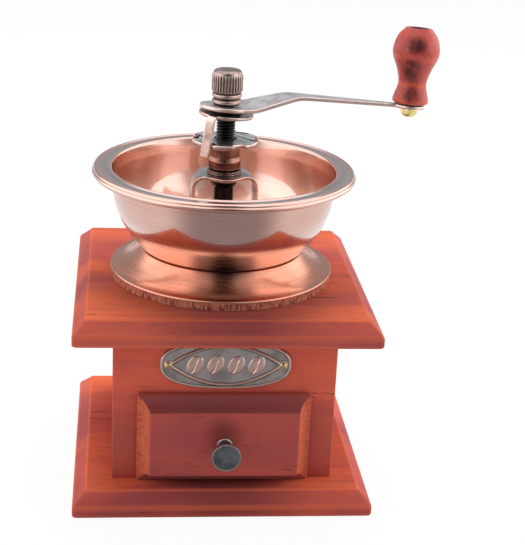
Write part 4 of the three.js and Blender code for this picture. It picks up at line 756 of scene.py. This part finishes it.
back = [(radius, height - 1.2) for radius, height in (collar_slope(0.82 * (1 - k / 8)) for k in range(9))]
collar_corners = [(THROAT, BOSS_TOP), (38.6, BOSS_TOP)] + back[1:]
collar_corners += [(48.4, DECK), (49.7, DECK, 0.25), (49.8, 94.2, 1.0)]
collar_corners += [collar_slope(k / 24) for k in range(25)]
collar_corners += [(35.6, 102.3, 0.2), (33, BOWL_BOTTOM), (THROAT, BOWL_BOTTOM)]
lathe("hopper_collar_copper", "hopper_collar", collar_corners, COLLAR_COPPER, 192, steps=6, extra={
    "streak": lambda x, y, z: max(0.0, min(1.0, (93.8 - z) / 1.0)) if math.hypot(x, y) > 49.2 else 0.0,
    "painted_dark_reflection": painted_front_reflection})


# Hopper bowl: flat floor, round wall, and a flat rim between an inner and two outer beads
def wall_radius(rise):
    return 35.6 + 14 * (1 - (1 - rise) ** 2.5)


def inner_radius(height):
    if height < BOWL_FLOOR_TOP + 0.05:
        return 34
    return wall_radius(min(1, max(0, (height - BOWL_FOOT) / WALL_RISE))) - 1.1


def is_inside(x, y, z):
    return math.hypot(x, y) < inner_radius(z) + 0.4


steps = 22
outside = [(wall_radius(k / steps), BOWL_FOOT + WALL_RISE * k / steps) for k in range(steps + 1)]
inside = []
for k, (radius, height) in enumerate(outside):
    before = outside[max(k - 1, 0)]
    after = outside[min(k + 1, steps)]
    along = Vector((after[0] - before[0], after[1] - before[1])).normalized()
    inside.append((radius - along.y * 1.2, height + along.x * 1.2))
bowl_corners = [(THROAT, BOWL_BOTTOM), (32.7, BOWL_BOTTOM, 2)] + outside[1:-1]
bowl_corners += [(49.7, 136.4, 0.5), (51.2, 138.1, 0.5), (54.4, 138.1, 0.3)]
bowl_corners += arc(57.1, 136.95, 1.2, 1.2, -2.6, 0.75, 12)
bowl_corners += arc(56.35, 138.0, 1.3, 1.3, 0.1, 1.25, 8)
bowl_corners += [(55.3, 138.95, 0.4), (52.1, 138.8, 0.8)]
bowl_corners += arc(50.7, 138.1, 1.25, 1.2, 0.7, 2.0, 9)
bowl_corners += inside[::-1][2:-1] + [(32.4, BOWL_FLOOR_TOP, 3), (THROAT, BOWL_FLOOR_TOP)]
lathe("hopper_bowl_copper", "hopper_bowl", bowl_corners, COPPER, 192, steps=6, smooth_deg=55, extra={
    # Painted grey reflection on the flat of the rim
    "painted_grey_reflection": lambda x, y, z: 0.8 if 51.6 < math.hypot(x, y) < 54.9 and z > 138.5 else 0.0,
    # Painted dark reflection at the front of the crease
    "painted_dark_reflection": lambda x, y, z: painted_front_reflection(x, y, z) if math.hypot(x, y) > 35.2 else 0.0,
    # Painted pale reflection round the bulge of the outside
    "painted_pale_reflection": lambda x, y, z: 0.0 if is_inside(x, y, z) else math.exp(-((z - 113) / 5.5) ** 2),
    # Painted light: the inside of the bowl is painted paler
    "inner": lambda x, y, z: 1.0 if is_inside(x, y, z) else 0.0})


# Cross-section rings swept along a path in the XZ plane: each station is (x, z, tangent angle, half width)
def strap_ring(place, height, angle, half, thick, round_by):
    outline = [(-half, thick, round_by), (half, thick, round_by), (half, 0, round_by * 0.6),
               (-half, 0, round_by * 0.6)]
    ring, wear_and_highlight = rounded(outline, steps=3, reach=0.5)
    normal = (-math.sin(angle), math.cos(angle))
    return [(place + normal[0] * v, u, height + normal[1] * v) for u, v in ring], wear_and_highlight


def bridge():
    leg, sheet, top, foot, bend = 14.7, 1.4, BRIDGE_TOP, 30.6, 5.1
    centre_line = rounded([(-foot, 101), (-leg + sheet, 101, 2.6), (-leg + sheet, top - sheet, bend),
                           (leg - sheet, top - sheet, bend), (leg - sheet, 101, 2.6), (foot, 101)],
                          closed=False, steps=10)[0]
    dense = []
    for a, b in zip(centre_line, centre_line[1:]):
        count = max(1, int((b - a).length / 0.9))
        dense += [a.lerp(b, k / count) for k in range(count)]
    dense.append(centre_line[-1])
    rings = []
    wear_and_highlight = []
    for i, point in enumerate(dense):
        before = dense[max(i - 1, 0)]
        after = dense[min(i + 1, len(dense) - 1)]
        angle = math.atan2(after.y - before.y, after.x - before.x)
        share = min(1.0, max(0.0, (abs(point.x) - 0.4) / 13.6))
        half = 12.6 - 7.7 * share * share * (3 - 2 * share)
        ring, marks = strap_ring(point.x, point.y, angle, half, sheet, 0.35)
        rings.append(ring)
        wear_and_highlight += marks
    points, faces = loft(rings)
    turn = Matrix.Rotation(math.radians(3.5), 4, "Z")
    return piece("bridge_copper", "bridge", points, faces, ANTIQUE, {"wear_and_highlight": wear_and_highlight}, turn, 40)


bridge()
ease(("bridge_screw_left", "bridge_screw_right", "bearing_strap", "burr_housing", "ring_burr", "cone_burr",
      "tail_nut", "spring_washer"), 0.15, 40)

lathe("bridge_bush_steel", "bridge_bush", [
    (BUSH_BORE, BRIDGE_TOP), (BUSH_BORE, 130.7), (5.1, 130.7, 0.2), (6.5, 132.8, 0.3), (6.5, 135, 0.2),
    (5.2, 135), (5.2, BRIDGE_TOP),
], BLACK_STEEL, 96)
lathe("thrust_washer_copper", "thrust_washer", [
    (BUSH_BORE, BRIDGE_TOP + 0.03), (7.6, BRIDGE_TOP + 0.03, 0.35), (7.6, 137.15, 0.3), (7.1, 137.25),
    (7.5, 137.4, 0.2), (7.5, SLEEVE_BOTTOM, 0.4), (BUSH_BORE, SLEEVE_BOTTOM),
], ANTIQUE_DARK, 96)
lathe("adjuster_sleeve_copper", "adjuster_sleeve", [
    (SHAFT_RADIUS, SLEEVE_BOTTOM), (6.1, SLEEVE_BOTTOM, 0.2), (7.1, 139.1, 0.7), (7.1, 142.5, 0.9),
    (6.5, 144.2, 1.6),
    (6.5, WHEEL_BOTTOM, 0.1), (5.2, WHEEL_BOTTOM), (5.2, WHEEL_TOP, 0.2), (SHAFT_RADIUS, WHEEL_TOP),
], ANTIQUE_BROWN, 96)

# The head leans on the thin end of the shaft
DROOP = 3.6
LATCH_LEAN = Euler((-math.radians(1.5), math.radians(DROOP), 0), "ZYX").to_matrix().to_4x4()
CRANK_LEAN = Euler((-math.radians(4.4), math.radians(DROOP), 0), "ZYX").to_matrix().to_4x4()


def leaning(turn, middle):
    up = Matrix.Translation((0, 0, middle * MM))
    return up @ turn @ up.inverted()


LATCH_TURN = leaning(LATCH_LEAN, LATCH_MIDDLE)
CRANK_TURN = leaning(CRANK_LEAN, CRANK_MIDDLE)

# Star wheel: its notches follow the latch's tab
TAB_ANGLE = math.radians(-123)
TAB_LEAN = math.radians(-3)
tab_depth = LATCH_TOP - WHEEL_BOTTOM
tab_at_wheel = Vector((TAB_REACH - LATCH_SHEET / 2 + tab_depth / TAB_DROP, math.sin(TAB_LEAN) * tab_depth,
                       WHEEL_BOTTOM - LATCH_MIDDLE))
tab_at_wheel.rotate(Matrix.Rotation(TAB_ANGLE, 3, "Z"))
tab_at_wheel.rotate(LATCH_LEAN.to_3x3())
NOTCH_PHASE = math.atan2(tab_at_wheel.y, tab_at_wheel.x)


def star_wheel():
    rim, floor, half_notch = 14.75, 12.2, 2.65
    corners = []
    edge_angle = math.asin(half_notch / rim)
    floor_angle = math.atan2(half_notch, floor)
    deep = math.hypot(half_notch, floor)
    for notch in range(6):
        middle = NOTCH_PHASE + notch * math.pi / 3
        corners += [(deep, middle - floor_angle, 0.5), (deep, middle + floor_angle, 0.5)]
        first = middle + edge_angle
        last = middle + math.pi / 3 - edge_angle
        corners.append((rim, first, 0.8))
        corners += [(rim, first + (last - first) * k / 18, 0) for k in range(2, 17)]
        corners.append((rim, last, 0.8))
    outline = rounded([(r * math.cos(a), r * math.sin(a), c) for r, a, c in corners], steps=4, reach=9)[0]
    levels = [(1.4, 0.7, 0), (1.2, 0, 0), (0.25, 0, 0), (0, 0.3, 0.6), (0, 1.45, 0.8), (0.05, 1.65, 1),
              (0.2, 1.83, 1), (0.42, 1.9, 1), (0.75, 1.9, 0)]
    rings = []
    wear_and_highlight = []
    for inward, rise, mark in levels:
        rings.append([(p.x, p.y, WHEEL_TOP - 1.9 + rise) for p in moved_in(outline, inward)])
        wear_and_highlight += [mark] * len(outline)
    points, faces = loft(rings)
    return piece("star_wheel_copper", "star_wheel", points, faces, ANTIQUE_ARM, {"wear_and_highlight": wear_and_highlight}, None, 40)


star_wheel()


# Shaft: smooth below, a right-hand thread above the wheel, a thin end through the head
def shaft():
    slope = math.tan(math.acos(max(-1, min(1, (LATCH_LEAN @ Vector((0, 0, 1))).z))))
    shoulder = LATCH_BOTTOM - 4.15 * slope - 0.3
    pitch, depth, crest = 1.35, 0.62, 4.15
    heights = [50.4, 50.9, 100, SLEEVE_BOTTOM, THREAD_BOTTOM]
    level = THREAD_BOTTOM
    while level < shoulder - 0.05:
        level += pitch / 14
        heights.append(min(level, shoulder))
    heights += [shoulder, shoulder, 175.0, 175.44, 175.44]
    last = len(heights) - 1
    around = 56
    points = []
    groove = []
    for i, z in enumerate(heights):
        for k in range(around):
            angle = 2 * math.pi * k / around
            if z <= SLEEVE_BOTTOM:
                radius = SHAFT_RADIUS
            elif i >= last - 3:
                radius = THIN_END
            else:
                phase = (z / pitch - angle / (2 * math.pi)) % 1
                ramp = min(1, abs(phase - 0.5) / 0.36)
                full = min(1, max(0, (shoulder - z) / 0.5), max(0, (z - THREAD_BOTTOM) / 0.5))
                radius = crest - depth * (1 - ramp) * full
            if i == last - 1:
                radius = 2.9
            if i == 0:
                radius = 3.9
            if i == last:
                radius = 0.01
            points.append((radius * math.cos(angle), radius * math.sin(angle), z))
            groove.append(0.0)
    faces = []
    for i in range(len(heights) - 1):
        for k in range(around):
            n = (k + 1) % around
            faces.append((i * around + k, i * around + n, (i + 1) * around + n, (i + 1) * around + k))
    faces.append(tuple(range(around))[::-1])
    return piece("shaft_steel", "shaft", points, faces, BLACK_STEEL, {"groove": groove}, None, 50)


shaft()


# Latch plate: a disc with a tab bent down into a notch of the star wheel
def latch():
    bore, rim = 3.6, 12
    disc, wear_and_highlight = rounded([(bore, LATCH_BOTTOM), (rim, LATCH_BOTTOM, 0.5), (rim, LATCH_TOP, 0.5),
                          (bore, LATCH_TOP)], steps=4)
    points, faces, counts = turned(disc, 96)
    marks = spread(wear_and_highlight, counts)
    width, thick = 4.3, LATCH_SHEET
    path = rounded([(8.5, LATCH_TOP - thick / 2), (TAB_REACH - thick / 2, LATCH_TOP - thick / 2, 1.9),
                    (TAB_REACH + 1 - thick / 2, LATCH_TOP - TAB_DROP)], closed=False, steps=8)[0]
    lean = Matrix.Translation((0, 0, LATCH_TOP)) @ Matrix.Rotation(TAB_ANGLE, 4, "Z") @ \
        Matrix.Rotation(TAB_LEAN, 4, "X") @ Matrix.Translation((0, 0, -LATCH_TOP))
    outline = [(-width / 2, thick / 2, 0.4), (width / 2, thick / 2, 0.4),
               (width / 2, -thick / 2, 0.25), (-width / 2, -thick / 2, 0.25)]
    ring, ring_wear = rounded(outline, steps=3, reach=0.35)
    rings = []
    dense = [path[0]]
    for a, b in zip(path, path[1:]):
        count = max(1, int((b - a).length / 1.5))
        dense += [a.lerp(b, (k + 1) / count) for k in range(count)]
    for i, point in enumerate(dense):
        before = dense[max(i - 1, 0)]
        after = dense[min(i + 1, len(dense) - 1)]
        angle = math.atan2(after.y - before.y, after.x - before.x)
        last = i == len(dense) - 1
        shrink = 0.86 if last else 1.0
        normal = (-math.sin(angle) * shrink, math.cos(angle) * shrink)
        rings.append([lean @ Vector((point.x + normal[0] * v, u * shrink, point.y + normal[1] * v))
                      for u, v in ring])
        marks += [1.0] * len(ring) if last else ring_wear
    tab_points, tab_faces = loft(rings)
    start = len(points)
    points += tab_points
    faces += [tuple(start + i for i in face) for face in tab_faces]
    made = piece("latch_plate_copper", "latch_plate", points, faces, ANTIQUE, {"wear_and_highlight": marks}, LATCH_TURN, 40)
    made.data.materials.append(ANTIQUE_PALE)
    for face in made.data.polygons:
        if (LATCH_TURN.inverted() @ face.center).z < (LATCH_BOTTOM + 0.1) * MM and \
                math.hypot(face.center.x, face.center.y) > 12.3 * MM:
            face.material_index = 1
    return made


latch()
# A black spacer ring holds the crank hub above the latch plate; its black is partly painted shade for the gap
# between them
lathe("head_spacer_steel", "head_spacer", [
    (4, LATCH_TOP + 0.15), (7, LATCH_TOP + 0.15, 0.2), (7, LATCH_TOP + 0.95, 0.2), (4, LATCH_TOP + 0.95),
], BLACK_STEEL, 72, LATCH_TURN)


# Crank: hub, ramp between two slanting bends, tapered arm and round end, cut from one flat outline
def crank():
    hub, end, run, rise, start = 11.8, 6.5, 21.0, CRANK_RISE, 7.6
    ramp_end = start + run
    neck = CRANK_LENGTH - end
    upper_side = [(0, hub - 1), (ramp_end, 6, 30), (neck, 2.3, 8), (CRANK_LENGTH, 2.3)]
    edge = rounded(upper_side, closed=False, steps=10, reach=0.01)[0]

    def edge_y(x):
        for a, b in zip(edge, edge[1:]):
            if a.x <= x <= b.x:
                return a.y + (b.y - a.y) * (x - a.x) / max(1e-9, b.x - a.x)
        return 0.0

    def half_width(x):
        widest = edge_y(x) if 0 <= x <= CRANK_LENGTH else 0.0
        if abs(x) < hub:
            widest = max(widest, math.sqrt(hub * hub - x * x))
        if abs(x - CRANK_LENGTH) < end:
            widest = max(widest, math.sqrt(end * end - (x - CRANK_LENGTH) ** 2))
        return widest

    stations = [-hub * math.cos(math.pi / 2 * k / 24) for k in range(24)]
    stations += [CRANK_LENGTH * k / 110 for k in range(111)]
    stations += [CRANK_LENGTH + end * math.sin(math.pi / 2 * k / 20) for k in range(1, 21)]
    outline = [(x, half_width(x)) for x in stations]
    outline += [(x, -y) for x, y in outline[::-1] if y > 1e-6]
    work = bmesh.new()
    rows = [[work.verts.new(Vector((x, y, z)) * MM) for x, y in outline] for z in (0, CRANK_SHEET)]
    count = len(outline)
    work.faces.new(rows[0])
    work.faces.new(rows[1][::-1])
    for k in range(count):
        n = (k + 1) % count
        work.faces.new((rows[0][k], rows[1][k], rows[1][n], rows[0][n]))
    bmesh.ops.remove_doubles(work, verts=work.verts, dist=1e-6)
    bmesh.ops.recalc_face_normals(work, faces=work.faces)
    wear_and_highlight = work.verts.layers.float.new("wear_and_highlight")
    rims = [e for e in work.edges if abs(e.verts[0].co.z - e.verts[1].co.z) < 1e-6]
    bmesh.ops.bevel(work, geom=rims, offset=0.42 * MM, segments=3, profile=0.5, affect="EDGES")
    for vert in work.verts:
        vert[wear_and_highlight] = 1.0
    caps = [f for f in work.faces if len(f.verts) > 40]
    bmesh.ops.inset_individual(work, faces=caps, thickness=0.25 * MM, use_even_offset=True)
    for face in [f for f in work.faces if len(f.verts) > 40]:
        for vert in face.verts:
            vert[wear_and_highlight] = 0.0
    normal = Vector((1, 0.5, 0)).normalized()
    for k in range(64):
        place = start - 7 + k * (run + 14) / 63
        geom = list(work.verts) + list(work.edges) + list(work.faces)
        cut = Vector((place, 0, 0)) * MM
        bmesh.ops.bisect_plane(work, geom=geom, plane_co=cut, plane_no=normal, dist=1e-7)
    blend = 2.6

    def centre_height(x):
        def soft(t, width):
            return t if t > 30 * width else width * math.log1p(math.exp(t / width))
        slope = rise / run
        return slope * (soft(x - start, blend / 2.2) - soft(x - ramp_end, blend / 2.2))

    for vert in work.verts:
        x, y, z = vert.co / MM
        along = x + 0.5 * y
        here = centre_height(along)
        grade = (centre_height(along + 0.05) - centre_height(along - 0.05)) / 0.1
        tilt = math.atan(grade)
        middle = z - CRANK_SHEET / 2
        vert.co = Vector((x - middle * math.sin(tilt), y,
                          CRANK_BOTTOM + CRANK_SHEET / 2 + here + middle * math.cos(tilt))) * MM
    mesh = bpy.data.meshes.new("crank_arm_copper")
    work.to_mesh(mesh)
    work.free()
    return finish_mesh("crank_arm_copper", "crank_arm", mesh, ANTIQUE_ARM, CRANK_TURN, 30)


crank()


# Cap nut: two beads, a knurled barrel and a flattened dome
def cap_nut():
    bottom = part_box("cap_nut")[0].z / MM
    neck, knurl, dome = 5.4, 8.0, 1.7
    knurl_low = bottom + neck
    knurl_top = knurl_low + knurl
    profile = [(3.6, bottom), (5.7, bottom), (6.0, bottom + 0.25)]
    for bead in (bottom + 1.35, bottom + 4.0):
        profile += [(5.5, bead - 1.15)] + arc(5.3, bead, 1.25, 1.05, -1, 1, 8)[1:-1] + [(5.5, bead + 1.15)]
    profile += [(5.5, knurl_low - 0.1), (6.3, knurl_low + 0.1)]
    profile += [(6.6, knurl_low + 0.4), (6.8, knurl_low + 0.9)]
    profile += [(6.8, knurl_low + 0.9 + (knurl - 1.9) * k / 6) for k in range(1, 7)]
    profile += [(6.62, knurl_top - 0.5), (6.35, knurl_top - 0.15)]
    profile += arc(4.4, knurl_top, 1.9, dome, 0.05, 1, 7)
    profile += [(2.4, knurl_top + dome + 0.02), (0, knurl_top + dome + 0.04)]
    around = NUT_RIBS * 10
    points = []
    wear_and_highlight = []
    groove = []
    for radius, z in profile:
        in_knurl = min(1, max(0, (z - knurl_low) / 0.5), max(0, (knurl_top - 0.25 - z) / 0.5))
        for k in range(around):
            angle = 2 * math.pi * k / around
            wave = 0.5 + 0.5 * math.cos(angle * NUT_RIBS)
            cut = (1 - min(1.0, wave * 1.9)) * in_knurl
            out = max(0.001, radius - 0.42 * cut)
            points.append((out * math.cos(angle), out * math.sin(angle), z))
            wear_and_highlight.append(0.75 * in_knurl * (1 - cut) if in_knurl > 0 else (0.5 if radius > 6.2 else 0.05))
            groove.append(0.95 * cut if in_knurl > 0 else (0.85 if radius <= 5.71 and z < knurl_low else 0.0))
    faces = []
    for i in range(len(profile) - 1):
        for k in range(around):
            n = (k + 1) % around
            faces.append((i * around + k, i * around + n, (i + 1) * around + n, (i + 1) * around + k))
    faces.append(tuple(range(around))[::-1])
    marks = {"wear_and_highlight": wear_and_highlight, "groove": groove}
    return piece("cap_nut_copper", "cap_nut", points, faces, ANTIQUE_NUT, marks, None, 60)


cap_nut()


# Smooth curve through points, with equal steps between them
def smooth_curve(points, steps):
    out = []
    for t in [k / steps for k in range(steps + 1)]:
        place = (len(points) - 1) * t
        i = min(int(place), len(points) - 2)
        w = place - i
        p0 = points[max(i - 1, 0)]
        p1 = points[i]
        p2 = points[i + 1]
        p3 = points[min(i + 2, len(points) - 1)]
        out.append(tuple(
            0.5 * ((2 * b) + (c - a) * w + (2 * a - 5 * b + 4 * c - d) * w * w
                   + (3 * b - a - 3 * c + d) * w ** 3)
            for a, b, c, d in zip(p0, p1, p2, p3)))
    return out


# Dark patches in the grip's colour, partly burnt stain and partly painted dark reflection at the front:
# degrees round from the front, height, half width in degrees, half height
BURN_AND_DARK_REFLECTION = ((-13, 26, 26, 3.6), (-22, 15, 32, 5.8), (-12, 4.6, 26, 3.4), (118, 24, 26, 4), (150, 12, 30, 5),
         (-115, 22, 28, 5), (-140, 6, 26, 4))


# Grip: turned wood with a bolt down its middle
def grip():
    outline = smooth_curve([(7.3, 0), (7.9, 1.8), (6.2, 8.8), (7.5, 14.7), (9.8, 20.2), (10.18, 24),
                            (8.8, 29), (5.7, GRIP_LENGTH)], 70)
    profile = [(2.5, 0), (6.9, 0), (7.2, 0.25)] + [p for p in outline if p[1] > 0.5]
    profile += [(5.0, 32.95), (4.5, 32.85), (4.15, 32.4), (4.1, 31.5), (4.1, 21.9), (2.5, 21.9)]
    points, faces, counts = turned([(r, z + GRIP_BOTTOM) for r, z in profile], 96)
    tone = []
    wear_and_highlight = []
    groove = []
    for (x, y, z), (radius, rise) in zip(points, spread(profile, counts)):
        round_by = math.degrees(math.atan2(x, -y))
        burn_and_dark_reflection = 0.0
        for middle, height, wide, tall in BURN_AND_DARK_REFLECTION:
            aside = (round_by - middle + 180) % 360 - 180
            burn_and_dark_reflection = max(burn_and_dark_reflection, math.exp(-((aside / wide) ** 2 + ((rise - height) / tall) ** 2) ** 2))
        tone.append(burn_and_dark_reflection)
        # Painted highlight bands round the bulb, the waist and the foot
        wear_and_highlight.append(0.55 * math.exp(-((rise - 20.5) / 1.3) ** 2) + 0.7 * math.exp(-((rise - 8.6) / 1.0) ** 2)
                    + 0.45 * math.exp(-((rise - 1.4) / 0.9) ** 2))
        # Painted shade: near black inside the bore and on the underside
        groove.append(0.9 if (radius < 4.6 and 20 < rise < 32.95) or rise < 0.1 else 0.0)
    points = [(x + CRANK_LENGTH, y, z) for x, y, z in points]
    marks = {"tone": tone, "wear_and_highlight": wear_and_highlight, "groove": groove}
    return piece("grip_turned", "grip", points, faces, GRIP_WOOD, marks, CRANK_TURN, 40)


grip()

# The bolt's head sits on a step 11 mm below the top of the grip
bolt_end = ARM_TOP - 4.1
bolt_head = GRIP_BOTTOM + GRIP_LENGTH - 11 + 0.3
lathe("grip_bolt_steel", "grip_bolt", [
    (0, bolt_end), (2.2, bolt_end), (2.2, bolt_head), (3.6, bolt_head, 0.2), (3.6, bolt_head + 2.6, 0.8),
    (0, bolt_head + 2.6),
], STEEL, 48, CRANK_TURN, steps=3, smooth_deg=40, aside=CRANK_LENGTH)


# Acorn nut: a hexagon with rounded shoulders over a flattened dome, upside down under the arm
def acorn():
    top = ARM_TOP - CRANK_SHEET - 0.3
    corner = 6.6 / 2 / math.cos(math.pi / 6)
    levels = [(0.86, 0.0), (0.97, 0.15), (1.0, 0.4), (1.0, 1.7), (0.96, 2.05), (0.88, 2.25)]
    around = 96
    rings = []

    def hexagon(angle):
        local = (angle + math.pi / 6) % (math.pi / 3) - math.pi / 6
        return 3.3 / math.cos(local)

    for share, drop in levels:
        rings.append([(CRANK_LENGTH + min(hexagon(a), corner * share) * math.cos(a),
                       min(hexagon(a), corner * share) * math.sin(a), top - drop)
                      for a in (2 * math.pi * k / around for k in range(around))])
    for k in range(7):
        angle = k / 6 * math.pi / 2
        rings.append([(CRANK_LENGTH + max(0.02, 3.0 * math.cos(angle)) * math.cos(a),
                       max(0.02, 3.0 * math.cos(angle)) * math.sin(a), top - 2.25 - 1.5 * math.sin(angle))
                      for a in (2 * math.pi * j / around for j in range(around))])
    points, faces = loft(rings)
    return piece("acorn_nut_brass", "acorn_nut", points, faces, BRASS, {}, CRANK_TURN, 35)


acorn()

# The CAD nodes that stay get their finish
for name, node in frame["nodes"].items():
    if node.hide_render:
        continue
    node.data.materials.clear()
    node.data.materials.append(FINISHES[SLOTS[name]])
    node.data.shade_smooth()
    node.data.set_sharp_from_angle(angle=math.radians(35))


# Stage: a pale floor that shows white, and soft lamps
def stage():
    mesh = bpy.data.meshes.new("floor")
    reach = 30
    mesh.from_pydata([(-reach, -reach, 0), (reach, -reach, 0), (reach, reach, 0), (-reach, reach, 0)], [],
                     [(0, 1, 2, 3)])
    floor = bpy.data.objects.new("floor", mesh)
    bpy.context.scene.collection.objects.link(floor)
    floor.location = (0, 0, -0.0002)
    material = bpy.data.materials.new("pale_floor")
    material.use_nodes = True
    tree = material.node_tree
    tree.nodes.clear()
    rays = put(tree, "ShaderNodeLightPath").outputs
    share = figure(tree, "MULTIPLY", rays["Is Camera Ray"], 0.92)
    share = figure(tree, "MAXIMUM", share, rays["Is Glossy Ray"])
    share = figure(tree, "MAXIMUM", share, rays["Is Transmission Ray"])
    plain = put(tree, "ShaderNodeBsdfDiffuse", {"Color": (0.85, 0.85, 0.85, 1)})
    place = put(tree, "ShaderNodeTexCoord").outputs["Object"]
    mirrored = front_shade(tree, place, (1, 1, 1, 1), (0.37, 0.37, 0.39, 1))
    seen = blend(tree, rays["Is Glossy Ray"], (1, 1, 1, 1), mirrored)
    white = put(tree, "ShaderNodeEmission", {"Color": seen, "Strength": 1.0})
    both = put(tree, "ShaderNodeMixShader", {0: share, 1: plain.outputs[0], 2: white.outputs[0]})
    put(tree, "ShaderNodeOutputMaterial", {"Surface": both.outputs[0]})
    mesh.materials.append(material)

    world = bpy.data.worlds.new("studio")
    bpy.context.scene.world = world
    world.use_nodes = True
    tree = world.node_tree
    tree.nodes.clear()
    rays = put(tree, "ShaderNodeLightPath").outputs
    plain = put(tree, "ShaderNodeBackground", {"Color": (1, 1, 1, 1), "Strength": 0.42})
    white = put(tree, "ShaderNodeBackground", {"Color": (1, 1, 1, 1), "Strength": 1.0})
    room = put(tree, "ShaderNodeBackground", {"Color": studio_room(tree), "Strength": 1.0})
    glossy = rays["Is Glossy Ray"]
    both = put(tree, "ShaderNodeMixShader", {0: glossy, 1: plain.outputs[0], 2: room.outputs[0]})
    straight = figure(tree, "MAXIMUM", rays["Is Camera Ray"], rays["Is Transmission Ray"])
    both = put(tree, "ShaderNodeMixShader", {0: straight, 1: both.outputs[0], 2: white.outputs[0]})
    put(tree, "ShaderNodeOutputWorld", {"Surface": both.outputs[0]})

    for name, place, size, power in (
            ("left", (-1.1, -0.3, 0.4), 0.8, 7),
            ("right", (1.15, -0.05, 0.5), 0.8, 11.5),
            ("top", (0.0, 0.45, 1.2), 0.8, 15)):
        lamp = bpy.data.lights.new(name, "AREA")
        lamp.size = size
        lamp.energy = power
        made = bpy.data.objects.new(name, lamp)
        bpy.context.scene.collection.objects.link(made)
        made.location = place
        made.visible_glossy = False
        aim = Vector((0, 0, 0.08)) - Vector(place)
        made.rotation_euler = aim.to_track_quat("-Z", "Y").to_euler()


def figure(tree, operation, a, b=0.0):
    return put(tree, "ShaderNodeMath", {0: a, 1: b}, operation=operation).outputs[0]


def step(tree, value, low, high):
    inputs = {"Value": value, "From Min": low, "From Max": high}
    return put(tree, "ShaderNodeMapRange", inputs, interpolation_type="SMOOTHSTEP").outputs["Result"]


def blend(tree, share, a, b):
    return put(tree, "ShaderNodeMix", {0: share, 6: a, 7: b}, data_type="RGBA").outputs[2]


def compass(tree, direction):
    x, y, z = put(tree, "ShaderNodeSeparateXYZ", {0: direction}).outputs[:]
    squares = figure(tree, "ADD", figure(tree, "MULTIPLY", x, x), figure(tree, "MULTIPLY", y, y))
    flat = figure(tree, "MAXIMUM", figure(tree, "SQRT", squares), 0.001)
    return figure(tree, "DIVIDE", x, flat), figure(tree, "DIVIDE", y, flat), z


# One shade all round, another towards the front
def front_shade(tree, direction, around, front):
    ahead = compass(tree, direction)[1]
    return blend(tree, step(tree, figure(tree, "MULTIPLY", ahead, -1.0), 0.45, 0.9), around, front)


# What polished pieces mirror: a pale room with soft boxes left, right and above, and a dark front
def studio_room(tree):
    ahead = put(tree, "ShaderNodeTexCoord").outputs["Generated"]
    aside, back, z = compass(tree, ahead)
    shade = blend(tree, step(tree, z, 0.54, 0.7), (0.42, 0.46, 0.5, 1), (1.8, 1.8, 1.8, 1))
    low = figure(tree, "SUBTRACT", 1.0, step(tree, z, 0.5, 0.7))
    sides = figure(tree, "MULTIPLY", step(tree, figure(tree, "ABSOLUTE", aside), 0.6, 0.8), low)
    shade = blend(tree, sides, shade, (2.2, 2.2, 2.2, 1))
    dark = figure(tree, "MULTIPLY", step(tree, figure(tree, "MULTIPLY", back, -1.0), 0.92, 0.99),
                  figure(tree, "SUBTRACT", 1.0, step(tree, z, 0.93, 0.985)))
    return blend(tree, dark, shade, (0.01, 0.01, 0.01, 1))


def camera():
    data = bpy.data.cameras.new("camera")
    data.sensor_width = SENSOR
    data.sensor_fit = "AUTO"
    data.lens = FOCAL_PIXELS * SENSOR / IMAGE_HEIGHT
    data.clip_start = 0.01
    data.clip_end = 100
    made = bpy.data.objects.new("camera", data)
    bpy.context.scene.collection.objects.link(made)
    right, down, ahead = Vector(CAMERA_RIGHT), Vector(CAMERA_DOWN), Vector(CAMERA_FORWARD)
    turn = Matrix((right, -down, -ahead)).transposed().to_4x4()
    made.matrix_world = Matrix.Translation(CAMERA_PLACE) @ turn
    bpy.context.scene.camera = made


stage()
camera()
bpy.context.scene.view_settings.view_transform = "Standard"
